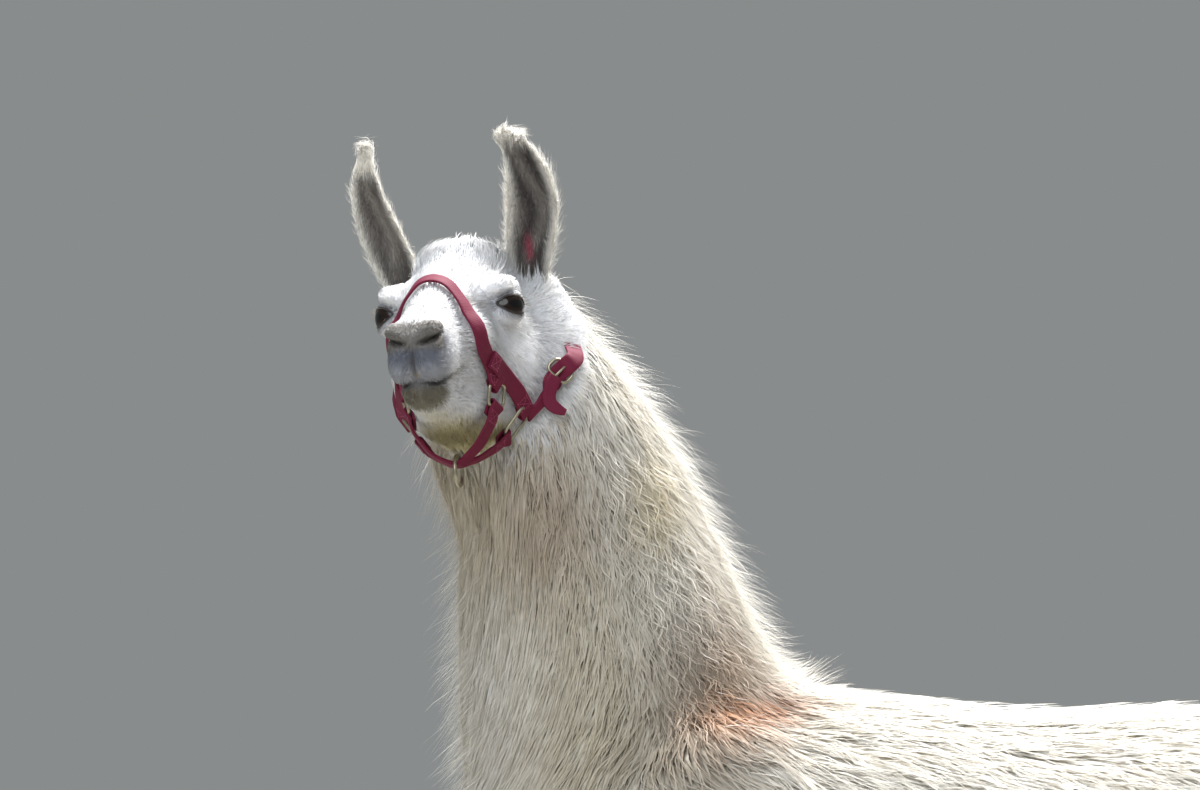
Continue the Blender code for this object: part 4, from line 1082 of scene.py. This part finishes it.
# Lash: coarse pale hair, which stands out against the dark rim of the lid.
LASH = new_material("lash", 0.5, Base_Color=(*paint("#8d857c"), 1))[0]
PUPIL, IRIS, IRIS_EDGE = paint("#060505"), paint("#20130c"), paint("#0c0807")
WHITE_OF_EYE = paint("#221814")
IRIS_SIZE, IRIS_EDGE_SIZE = 0.78, 0.86  # of the eyeball's radius, as are the pupil's halves
PUPIL_LENGTH, PUPIL_HEIGHT = 0.46, 0.22
EYE_SIDES, EYE_RINGS = 96, 56
CORNEA_RISE = 0.0007
RIM_RADIUS, RIM_HEIGHT = 0.0008, 0.0006
LASHES, LASH_FROM, LASH_TO = 30, 5, 30  # from one step to another of the lids' rim
LASH_RADIUS = 0.00022
for hand, side in SIDES.items():
    axes, centre = eye_axes(side), EYE_CENTRES[hand]
    tilt = np.linspace(0.004, np.pi - 0.004, EYE_RINGS)[:, None]
    turn = (2 * np.pi * np.arange(EYE_SIDES) / EYE_SIDES)[None]
    ball = np.stack([np.sin(tilt) * np.cos(turn), np.sin(tilt) * np.sin(turn),
                     np.cos(tilt) + 0 * turn], axis=-1)
    size = EYE_RADIUS + CORNEA_RISE * smooth_step(0.80, 0.35, np.sin(tilt)) * (tilt < 1.5)
    ball_points, ball_faces = lofted(on_head((ball * size[..., None]) @ axes + centre))
    flat = np.vstack([ball.reshape(-1, 3), (0, 0, 1), (0, 0, -1)])
    away = np.hypot(flat[:, 0], flat[:, 1])
    angle = np.arctan2(flat[:, 1], flat[:, 0])
    rays = 1 + 0.25 * np.sin(23 * angle) * np.sin(7 * angle + 1)
    ruffle = 1 + 0.07 * np.sin(9 * angle)
    hues = np.tile(WHITE_OF_EYE, (len(flat), 1))
    hues[away < IRIS_EDGE_SIZE] = IRIS_EDGE
    iris = away < IRIS_SIZE
    hues[iris] = IRIS * rays[iris, None]
    hues[np.hypot(flat[:, 0] / PUPIL_LENGTH, flat[:, 1] / PUPIL_HEIGHT) < ruffle] = PUPIL
    hues[flat[:, 2] < 0] = WHITE_OF_EYE
    eyeball = surface("eyeball_" + hand, ball_points, ball_faces, EYEBALL, "eye", hues)
    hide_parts("eye_" + hand)

    rim = lids_rim(RIM_HEIGHT)
    out = unit(rim) @ axes @ HEAD_AXES
    rim = on_head(rim @ axes + centre)
    rod = round_rod(rim, RIM_RADIUS, out, closed=True, sides=8)
    surface("lid_rim_" + hand, *rod, LID_SKIN, "short_hair")

    rng = np.random.default_rng(31 + side)
    lashes = []
    for place in np.linspace(LASH_FROM, LASH_TO, LASHES):
        step = int(place)
        spot = rim[step] + (place - step) * (rim[step + 1] - rim[step])
        outward = unit(out[step] + rng.normal(0, 0.10, 3))
        droop = -HEAD_AXES[2] * rng.uniform(0.35, 0.6) + HEAD_AXES[0] * rng.uniform(-0.1, 0.15)
        reach = rng.uniform(0.006, 0.0105)
        t = np.linspace(0, 1, 5)[:, None]
        lash = spot + reach * (outward * t + droop * (0.5 * t + 0.4 * t**2))
        lashes.append(round_rod(lash, LASH_RADIUS * (1.05 - t[:, 0]), HEAD_AXES[0], sides=3))
    surface("lashes_" + hand, *merged(lashes), LASH, "short_hair")


# ------------------------------------------------- the halter's wire
# The halter's two pairs of keepers, its ring and its buckle are bent from round brass wire,
# pale and dull with wear. The straps hold them, and they lie just clear of the hair.
CLEAR = 0.0012  # between the wire and the hair
WIRE_RADIUS, RING_WIRE, RING_RADIUS = 0.0018, 0.0021, 0.0150
KEEPER_PLACES = {  # centre and a point along it, for the left side, length and width
    "front": ((0.020, 0.046, -0.091), (0.020, 0.045, -0.110), 0.022, 0.027),
    "rear": ((-0.031, 0.050, -0.115), (-0.024, 0.044, -0.131), 0.034, 0.022),
}
BUCKLE_PLACE = (-0.062, 0.0955, -0.064), (-0.068, 0.105, -0.0545), 0.016, 0.0250
KEEPER_CORNER, BUCKLE_CORNER = 0.005, 0.006  # radii of the bends
RING_PLACE = (0.017, 0.002, -0.1635)
RING_STEPS = 48

# Brass: yellow-grey metal, dull where it has tarnished.
BRASS, tree, shader = new_material("worn_brass", 0.36, Metallic=1.0)
place = add(tree, "ShaderNodeTexCoord").outputs["Object"]
worn = add(tree, "ShaderNodeTexNoise", {"Vector": place}, {"Scale": 260.0, "Detail": 3.0})
ramp = add(tree, "ShaderNodeValToRGB", {"Fac": worn.outputs["Fac"]})
ramp.color_ramp.elements[0].color = (*paint("#8f8872"), 1)
ramp.color_ramp.elements[1].color = (*paint("#cbc4ac"), 1)
tree.links.new(ramp.outputs["Color"], shader.inputs["Base Color"])
dull = add(
    tree, "ShaderNodeMapRange", {"Value": worn.outputs["Fac"]}, {"To Min": 0.28, "To Max": 0.5},
)
tree.links.new(dull.outputs["Result"], shader.inputs["Roughness"])


def coat_at(point):
    """The nearest point on the tips of the coat, and the way out of the coat there."""
    return [np.array(found) for found in outer_surface.find_nearest(point.tolist())[:2]]


def frame_at(place, toward):
    """Centre, along, across and away from the hair, for a flat loop of wire on the head."""
    near, normal = coat_at(on_head(place))
    along = laid(on_head(toward) - on_head(place), normal)
    return near + normal * (WIRE_RADIUS + CLEAR), along, np.cross(normal, along), normal


def wire_frame(at, length, width, corner):
    """A flat loop of wire with round corners."""
    centre, along, across, normal = at
    turn = np.linspace(0, np.pi / 2, 7)
    path = []
    for quarter, (x, y) in enumerate(((1, 1), (-1, 1), (-1, -1), (1, -1))):
        for angle in turn + quarter * np.pi / 2:
            path.append(centre + along * (x * (length / 2 - corner) + corner * np.cos(angle))
                        + across * (y * (width / 2 - corner) + corner * np.sin(angle)))
    return round_rod(path, WIRE_RADIUS, normal, closed=True, sides=12)


bars = {}  # middle of a keeper's bar, its direction, and away from the hair
for row, (place, toward, length, width) in KEEPER_PLACES.items():
    for hand, side in SIDES.items():
        at = frame_at(*mirrored((place, toward), side))
        wire = wire_frame(at, length, width, KEEPER_CORNER)
        made = surface(f"keeper_wire_{row}_{hand}", *wire, BRASS, "hardware")
        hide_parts(f"keeper_{row}_{hand}")
        for end, way in (("upper", -1), ("lower", 1)):
            bars[row, end, hand] = at[0] + way * at[1] * length / 2, at[2], at[3]

place, toward, length, width = BUCKLE_PLACE
at = frame_at(place, toward)
centre, along, _, normal = at
PRONG = (  # along the buckle from its middle, and away from the hair
    (-length / 2 - 0.0012, 0.0022), (-length / 4, 0.0042),
    (length / 4, 0.0040), (length / 2 + 0.0024, 0.0026),
)
prong = line_through([centre + along * way + normal * height for way, height in PRONG], 4)
prong = round_rod(prong, np.linspace(0.0016, 0.0010, len(prong)), normal)
wire = merged([wire_frame(at, length, width, BUCKLE_CORNER), prong])
buckle = surface("buckle_frame", *wire, BRASS, "hardware")
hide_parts("crown_buckle")

turn = (2 * np.pi * np.arange(RING_STEPS) / RING_STEPS)[:, None]
ring = on_head(RING_PLACE) + RING_RADIUS * (
    np.cos(turn) * HEAD_AXES[2] + np.sin(turn) * HEAD_AXES[0]
)
ring = round_rod(ring, RING_WIRE, HEAD_AXES[1], closed=True, sides=12)
ring = surface("ring_wire", *ring, BRASS, "hardware")
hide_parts("lead_ring")


# ------------------------------------------------- the halter's webbing
# Maroon nylon webbing, folded over the bars of the keepers and sewn back on itself; each
# piece keeps the line that it has on the solids.
STRAP_WIDTH, STRAP_THICK = 0.019, 0.0028
HAIR_GAP = 0.0006  # between a strap and the hair
MOST_LIFT = 0.003  # that a strap gets where the hair would come through it
LYING = STRAP_THICK / 2 + HAIR_GAP  # height of a strap's middle over the hair
FLAT = (STRAP_WIDTH, STRAP_THICK, LYING)  # width, thickness and height, as in all of these
BUNCHED = (0.015, 0.0035, LYING)  # beside the ring
GATHERED = (0.011, 0.0045, LYING)  # inside it, and behind the jaw
SUNK = (STRAP_WIDTH, STRAP_THICK, -0.012)  # in the wool of the nape
OVER = (STRAP_WIDTH, STRAP_THICK, LYING + STRAP_THICK + 0.0010)  # over another strap
HIGH = (0.0140, STRAP_THICK, LYING + STRAP_THICK + 0.0050)  # the folded tail, clear of one
ON_BAR = (STRAP_WIDTH, STRAP_THICK, 0.0062)  # over a bar of the buckle


def far_side(rows):
    """The same path on the right of the head, from its far end back."""
    return [(row[0], -row[1], *row[2:]) for row in rows[::-1]]


SIDE_OF_NOSEBAND = [  # from the front keeper up to the bridge of the nose
    (0.020, 0.046, -0.086), (0.038, 0.0445, -0.062), (0.056, 0.035, -0.042),
    (0.067, 0.026, -0.018), (0.067, 0.018, 0.004), (0.066, 0.009, 0.018),
]
SIDE_OF_CHIN_STRAP = [
    (0.020, 0.045, -0.096), (0.024, 0.042, -0.116), (0.027, 0.031, -0.136),
    (0.026, 0.016, -0.151, *BUNCHED),
]
SIDE_OF_THROAT_STRAP = [
    (-0.022, 0.044, -0.132), (-0.012, 0.034, -0.142), (-0.003, 0.024, -0.149),
    (0.005, 0.014, -0.154, *BUNCHED),
]
CHEEK_STRAP = [  # from its sewn end on the noseband back
    (0.044, 0.045, -0.056, *OVER), (0.030, 0.049, -0.063, *OVER), (0.010, 0.054, -0.072),
    (-0.018, 0.057, -0.086), (-0.040, 0.056, -0.098),
]
STRAPS = {
    "noseband": SIDE_OF_NOSEBAND + [(0.066, 0.0, 0.024)] + far_side(SIDE_OF_NOSEBAND),
    "cheek_strap_left": CHEEK_STRAP,
    "cheek_strap_right": far_side(CHEEK_STRAP),
    "chin_strap": SIDE_OF_CHIN_STRAP + [(0.0235, 0.002, -0.1575, *GATHERED)]
    + far_side(SIDE_OF_CHIN_STRAP),
    "throat_strap": SIDE_OF_THROAT_STRAP + [(0.0105, 0.002, -0.1580, *GATHERED)]
    + far_side(SIDE_OF_THROAT_STRAP),
    "buckle_billet": [  # from the left cheek to the buckle
        (-0.042, 0.057, -0.102), (-0.052, 0.061, -0.098, *GATHERED),
        (-0.060, 0.067, -0.092, *GATHERED), (-0.0605, 0.076, -0.0855, *GATHERED),
        (-0.058, 0.084, -0.078),
        (-0.059, 0.090, -0.070), (-0.0615, 0.095, -0.065),
    ],
    "crown_strap": [  # from the buckle, behind the ears, to the right cheek
        (-0.0615, 0.095, -0.065), (-0.0665, 0.1025, -0.0575, *ON_BAR),
        (-0.0715, 0.1085, -0.050), (-0.088, 0.102, -0.026, *SUNK), (-0.104, 0.078, 0.005, *SUNK),
        (-0.122, 0.052, 0.038, *SUNK), (-0.128, 0.000, 0.054, *SUNK),
        (-0.122, -0.052, 0.038, *SUNK), (-0.108, -0.074, -0.005, *SUNK),
        (-0.090, -0.072, -0.050), (-0.054, -0.061, -0.097), (-0.042, -0.057, -0.100),
    ],
    "strap_tail": [  # hangs from the buckle over the billet
        (-0.0580, 0.0890, -0.0715, *HIGH), (-0.0540, 0.0840, -0.0805, *HIGH),
        (-0.0525, 0.0820, -0.0900, *HIGH), (-0.0530, 0.0840, -0.0975, *HIGH),
        (-0.0550, 0.0900, -0.1045, 0.012, STRAP_THICK, HIGH[2]),
        (-0.0575, 0.0975, -0.1085, 0.007, STRAP_THICK, HIGH[2]),
    ],
}
FOLDS = {  # the bars that a strap's ends are folded over, first and last
    "noseband": (("front", "upper", "left"), ("front", "upper", "right")),
    "chin_strap": (("front", "lower", "left"), ("front", "lower", "right")),
    "throat_strap": (("rear", "lower", "left"), ("rear", "lower", "right")),
    "cheek_strap_left": (None, ("rear", "upper", "left")),
    "cheek_strap_right": (("rear", "upper", "right"), None),
    "crown_strap": (None, ("rear", "upper", "right")),
}


def height_over(point):
    near, normal = coat_at(point)
    return (point - near) @ normal


def evened(path):
    """Draws each point of a path but its ends towards its neighbours."""
    path[1:-1] = (path[:-2] + 2 * path[1:-1] + path[2:]) / 4


def pressed(path, lifts):
    """Smooths a path, keeps each point at its lift from the coat or beyond, and finds away."""
    points = np.array(path)
    for _ in range(6):
        evened(points)
        for i, lift in enumerate(lifts):
            near, normal = coat_at(points[i])
            if (points[i] - near) @ normal < lift:
                points[i] = near + normal * lift
    away = []
    for point in points:
        near, normal = coat_at(point)
        outward = (point - near) @ normal > 0 and np.linalg.norm(point - near) > 0.004
        away.append(unit(point - near) if outward else normal)
    away = np.array(away)
    for _ in range(24):
        away[1:-1] = unit(away[:-2] + away[1:-1] + away[2:])
    return points, away


FOLD_STEPS, FOLD_GAP = 9, 0.0003  # round a bar, and between the webbing and the bar
FOLD_ENDS = (0.005, 0.013)  # how far back from the bar the turned end lies
FOLD_START = 0.007  # the strap's own points stop this far before the bar
FOLD_REACH = 0.060  # points further than this belong to the strap's other end


def folded(points, away, sizes, bar):
    """Turns the last end of a strap over a bar and back under itself."""
    middle, _, normal = bar
    direction = -laid(points[-6] - middle, normal)
    keep = (points - middle) @ direction < -FOLD_START
    keep |= np.linalg.norm(points - middle, axis=1) > FOLD_REACH
    turn = np.linspace(0, np.pi, FOLD_STEPS)[:, None]
    height = WIRE_RADIUS + STRAP_THICK / 2
    arc_away = normal * np.cos(turn) + direction * np.sin(turn)
    under = [middle - direction * back - normal * height for back in FOLD_ENDS]
    points = np.vstack([points[keep], middle + arc_away * (height + FOLD_GAP), under])
    away = np.vstack([away[keep], arc_away, -normal, -normal])
    sizes = np.vstack([sizes[keep], np.tile(FLAT[:2], (FOLD_STEPS + len(under), 1))])
    return points, away, sizes


EDGE_TURN = np.linspace(-np.pi / 2, np.pi / 2, 5)


def strap_outline(wide, thick):
    """Places round a strap, across it and away from the hair, with rounded edges."""
    edge, rounding = wide / 2 - thick / 2, thick / 2
    half = [(edge + rounding * math.cos(t), rounding * math.sin(t)) for t in EDGE_TURN]
    half += [(edge * x, rounding) for x in (0.5, 0.0, -0.5)]
    return half + [(-x, -y) for x, y in half]


# Webbing: hard matt nylon, its cords running along and its rows of weft across, with
# painted shade in the gaps between them.
WEBBING, tree, shader = new_material("maroon_webbing", 0.72, Specular_IOR_Level=0.3)
weave_uv = add(tree, "ShaderNodeUVMap", uv_map="Weave").outputs["UV"]
CORD, WEFT = 0.0016, 0.0018  # pitches; drawn a little coarser than real, to be seen at all
WAVES = 0.314  # how far apart the wave texture's bands are at a scale of 1
cords, wefts = (
    add(
        tree, "ShaderNodeTexWave", {"Vector": weave_uv},
        {"Scale": WAVES / pitch, "Distortion": 0.4, "Detail": 1.0, "Detail Scale": 2.0},
        wave_type="BANDS", bands_direction=direction,
    ).outputs["Fac"]
    for direction, pitch in (("X", CORD), ("Y", WEFT))
)
woven = add(tree, "ShaderNodeMath", {0: cords, 1: wefts}, operation="MULTIPLY").outputs[0]
ramp = add(tree, "ShaderNodeValToRGB", {"Fac": woven})
# the darker end, in the gaps of the weave, is painted shade
ramp.color_ramp.elements[0].color = (*paint("#6a1734"), 1)
ramp.color_ramp.elements[1].color = (*paint("#862142"), 1)
tree.links.new(ramp.outputs["Color"], shader.inputs["Base Color"])
weave = add(tree, "ShaderNodeBump", {"Height": woven}, {"Strength": 0.5, "Distance": 0.0004})
tree.links.new(weave.outputs["Normal"], shader.inputs["Normal"])

RIPPLE, RIPPLE_RATE = 0.0003, 210  # the webbing isn't quite flat along its length
FOLD_USES = sum(FOLD_ENDS) + math.pi * (WIRE_RADIUS + STRAP_THICK / 2 + FOLD_GAP)
SEAM_LENGTH, SEAM_HALF_WIDTH, SEAM_INSET = 0.012, 0.0065, 0.002
SEAM_POINTS = 5  # to each line of a seam
THREAD_LIFT = 0.0002  # over the webbing
seams = []  # lines of sewing, each a list of points
for name, rows in STRAPS.items():
    rows = line_through([row if len(row) == 6 else (*row, *FLAT) for row in rows], 8)
    centres, away = pressed(on_head(rows[:, :3]), rows[:, 5])
    sizes = rows[:, 3:5]
    along = unit(np.gradient(centres, axis=0))
    across = unit(np.cross(away, along))
    for i in range(len(centres)):
        if rows[i, 5] > 0:
            under = min(
                height_over(centres[i] + x * across[i] * sizes[i, 0] - away[i] * sizes[i, 1] / 2)
                for x in (-0.5, -0.25, 0, 0.25, 0.5)
            )
            centres[i] += away[i] * max(0.0, min(HAIR_GAP - under, MOST_LIFT))
    evened(centres)
    first, last = FOLDS.get(name, (None, None))
    if last:
        centres, away, sizes = folded(centres, away, sizes, bars[last])
    if first:
        centres, away, sizes = (
            row[::-1] for row in folded(centres[::-1], away[::-1], sizes[::-1], bars[first])
        )
    steps = np.linalg.norm(np.diff(centres, axis=0), axis=1)
    run = np.concatenate([[0], np.cumsum(steps)])
    along = unit(np.gradient(centres, axis=0))
    away = laid(away, along)
    across = np.cross(away, along)
    rings, weave_places = [], []
    for p, c, a, (wide, thick), at in zip(centres, across, away, sizes, run):
        ripple = RIPPLE * np.sin(at * RIPPLE_RATE) * a
        ring = strap_outline(wide, thick)
        rings.append([p + c * x + a * y + ripple for x, y in ring])
        weave_places += [(x, at) for x, _ in ring]
    strap_points, strap_faces = lofted(rings)
    weave_places += [(0, 0), (0, run[-1])]
    made = surface(name + "_webbing", strap_points, strap_faces, WEBBING, "webbing")
    layer = made.data.uv_layers.new(name="Weave")
    layer.uv.foreach_set("vector", np.array(weave_places)[strap_faces.ravel()].ravel())
    made.data.set_sharp_from_angle(angle=math.radians(50))
    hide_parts(name)

    def on_strap(at, sideways):
        """A place on the outer face of the strap, along it and across it."""
        spot = [np.interp(at, run, field) for field in (*centres.T, *across.T, *away.T)]
        lift = STRAP_THICK / 2 + THREAD_LIFT
        return np.array(spot[:3]) + np.array(spot[3:6]) * sideways + np.array(spot[6:]) * lift

    starts = []  # of each box of seams, with a cross in it, and its way along the strap
    if first:
        starts.append((FOLD_USES + SEAM_INSET, 1))
    if last:
        starts.append((run[-1] - FOLD_USES - SEAM_INSET, -1))
    if name.startswith("cheek"):  # sewn flat on the noseband
        at_start = name.endswith("left")
        starts.append((SEAM_INSET, 1) if at_start else (run[-1] - SEAM_INSET, -1))
    for start, way in starts:
        box = [(start + way * far * SEAM_LENGTH, half * SEAM_HALF_WIDTH)
               for far, half in ((0, -1), (0, 1), (1, 1), (1, -1), (0, -1))]
        for (s0, x0), (s1, x1) in [*zip(box, box[1:]), (box[0], box[2]), (box[1], box[3])]:
            seams.append([on_strap(s0 + (s1 - s0) * t, x0 + (x1 - x0) * t)
                          for t in np.linspace(0, 1, SEAM_POINTS)])


def applied(obj):
    """Puts what an object's modifiers make in place of its mesh."""
    evaluated = obj.evaluated_get(bpy.context.evaluated_depsgraph_get())
    made = bpy.data.meshes.new_from_object(evaluated)
    obj.modifiers.clear()
    obj.data = made
    return made


# Sewing thread: the same nylon, rounder and paler than the webbing.
THREAD = new_material("sewing_thread", 0.5, Base_Color=(*paint("#a8486a"), 1))[0]
STITCH_SIZES = {"Pitch": 0.0026, "Stitch length": 0.0019, "Thread radius": 0.00032}
seam_mesh = bpy.data.meshes.new("stitching")
seam_mesh.from_pydata(
    [tuple(point) for seam in seams for point in seam],
    [(i, i + 1) for i in range(len(seams) * SEAM_POINTS) if (i + 1) % SEAM_POINTS],
    [],
)
stitching = placed("stitching", seam_mesh)
sewing = bpy.data.node_groups.new("sewing", "GeometryNodeTree")
sewing.interface.new_socket("Seams", in_out="INPUT", socket_type="NodeSocketGeometry")
size_sockets = {
    size: sewing.interface.new_socket(size, in_out="INPUT", socket_type="NodeSocketFloat")
    for size in STITCH_SIZES
}
sewing.interface.new_socket("Thread", in_out="OUTPUT", socket_type="NodeSocketGeometry")
given, result = add(sewing, "NodeGroupInput"), add(sewing, "NodeGroupOutput")
lines = add(sewing, "GeometryNodeMeshToCurve", {"Mesh": given.outputs["Seams"]})
spaced = add(sewing, "GeometryNodeResampleCurve", {"Curve": lines.outputs["Curve"],
                                                   "Length": given.outputs["Pitch"]},
             mode="LENGTH")
stitch = add(sewing, "GeometryNodeMeshCylinder",
             {"Radius": given.outputs["Thread radius"], "Depth": given.outputs["Stitch length"]},
             {"Vertices": 6, "Side Segments": 1})
lying = add(sewing, "FunctionNodeAlignRotationToVector",
            {"Vector": add(sewing, "GeometryNodeInputTangent").outputs["Tangent"]}, axis="Z")
sewn = add(sewing, "GeometryNodeInstanceOnPoints",
           {"Points": spaced.outputs["Curve"], "Instance": stitch.outputs["Mesh"],
            "Rotation": lying.outputs["Rotation"]})
solid = add(sewing, "GeometryNodeRealizeInstances", {"Geometry": sewn.outputs["Instances"]})
threaded = add(sewing, "GeometryNodeSetMaterial", {"Geometry": solid.outputs["Geometry"]},
               {"Material": THREAD})
sewing.links.new(threaded.outputs["Geometry"], result.inputs["Thread"])
modifier = stitching.modifiers.new("sewing", "NODES")
modifier.node_group = sewing
for size, value in STITCH_SIZES.items():
    modifier[size_sockets[size].identifier] = value
applied(stitching)
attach(stitching, "root")


# ------------------------------------------------- the nails
# Two curved nails on each foot, one to a toe, of horn that grows from the toe's end and
# down over it.

# Horn: dark, low in gloss, and finely furrowed lengthwise as it grows.
HORN, tree, shader = new_material("nail_horn", 0.42)
place = add(tree, "ShaderNodeTexCoord").outputs["Object"]
squeezed = add(tree, "ShaderNodeMapping", {"Vector": place}, {"Scale": (900.0, 900.0, 60.0)})
furrow = add(tree, "ShaderNodeTexNoise", {"Vector": squeezed.outputs["Vector"]},
             {"Scale": 1.0, "Detail": 2.0})
ramp = add(tree, "ShaderNodeValToRGB", {"Fac": furrow.outputs["Fac"]})
ramp.color_ramp.elements[0].color = (*paint("#2a2420"), 1)
ramp.color_ramp.elements[1].color = (*paint("#5a4f45"), 1)
tree.links.new(ramp.outputs["Color"], shader.inputs["Base Color"])
ridges = add(tree, "ShaderNodeBump", {"Height": furrow.outputs["Fac"]},
             {"Strength": 0.4, "Distance": 0.0004})
tree.links.new(ridges.outputs["Normal"], shader.inputs["Normal"])
for end in ("fore", "hind"):
    for hand in SIDES:
        for toe in ("inner", "outer"):
            node = f"{end}_{hand}_{toe}_nail"
            horn = placed(node + "_horn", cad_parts[node].data.copy())
            horn.modifiers.new("rounded", "SUBSURF").levels = 2
            smooth = applied(horn)
            smooth.shade_smooth()
            smooth.materials.clear()
            smooth.materials.append(HORN)
            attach(horn, "root")
            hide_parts(node)


# ------------------------------------------------- floor, light and camera
# A floor of pale card in a plain grey room. A strong warm lamp stands high behind the
# animal, as a sun would, and a wide weak cool one before it.
def light(name, place, towards, power, size, colour):
    lamp = bpy.data.lights.new(name, "AREA")
    lamp.shape = "DISK"
    lamp.energy, lamp.size, lamp.color = power, size, colour
    made = placed(name, lamp)
    made.location = place
    made.rotation_euler = (Vector(towards) - Vector(place)).to_track_quat("-Z", "Y").to_euler()


CHEST = (0.0, -0.45, 1.25)
light("sun_behind", (-2.1, 0.65, 5.6), CHEST, 760, 1.8, (1.0, 0.985, 0.96))
light("sky_fill", (3.2, -1.4, 3.6), CHEST, 95, 3.0, (0.90, 0.95, 1.0))
world = bpy.data.worlds.new("studio")
world.use_nodes = True
world.node_tree.nodes["Background"].inputs["Color"].default_value = (0.250, 0.262, 0.262, 1)
world.node_tree.nodes["Background"].inputs["Strength"].default_value = 1.0
bpy.context.scene.world = world

FLOOR_HALF = 6.0
floor_mesh = bpy.data.meshes.new("floor")
floor_mesh.from_pydata(
    [(x * FLOOR_HALF, y * FLOOR_HALF, 0) for x, y in ((-1, -1), (1, -1), (1, 1), (-1, 1))],
    [],
    [(0, 1, 2, 3)],
)
# Card: pale and matt, very faintly mottled.
CARD, tree, shader = new_material("pale_card", 0.9)
place = add(tree, "ShaderNodeTexCoord").outputs["Object"]
mottle = add(tree, "ShaderNodeTexNoise", {"Vector": place}, {"Scale": 3.0, "Detail": 3.0})
ramp = add(tree, "ShaderNodeValToRGB", {"Fac": mottle.outputs["Fac"]})
ramp.color_ramp.elements[0].color = (*paint("#a9a7a2"), 1)
ramp.color_ramp.elements[1].color = (*paint("#b6b4af"), 1)
tree.links.new(ramp.outputs["Color"], shader.inputs["Base Color"])
floor_mesh.materials.append(CARD)
floor = placed("floor", floor_mesh)
bpy.context.scene.view_settings.view_transform = "Standard"

lens = bpy.data.cameras.new("camera")
lens.sensor_width, lens.lens = 36.0, 174.75
camera = placed("camera", lens)
camera.location = (6.0, -0.435, 1.438)
camera.rotation_euler = (math.pi / 2, 0, math.pi / 2)
bpy.context.scene.camera = camera
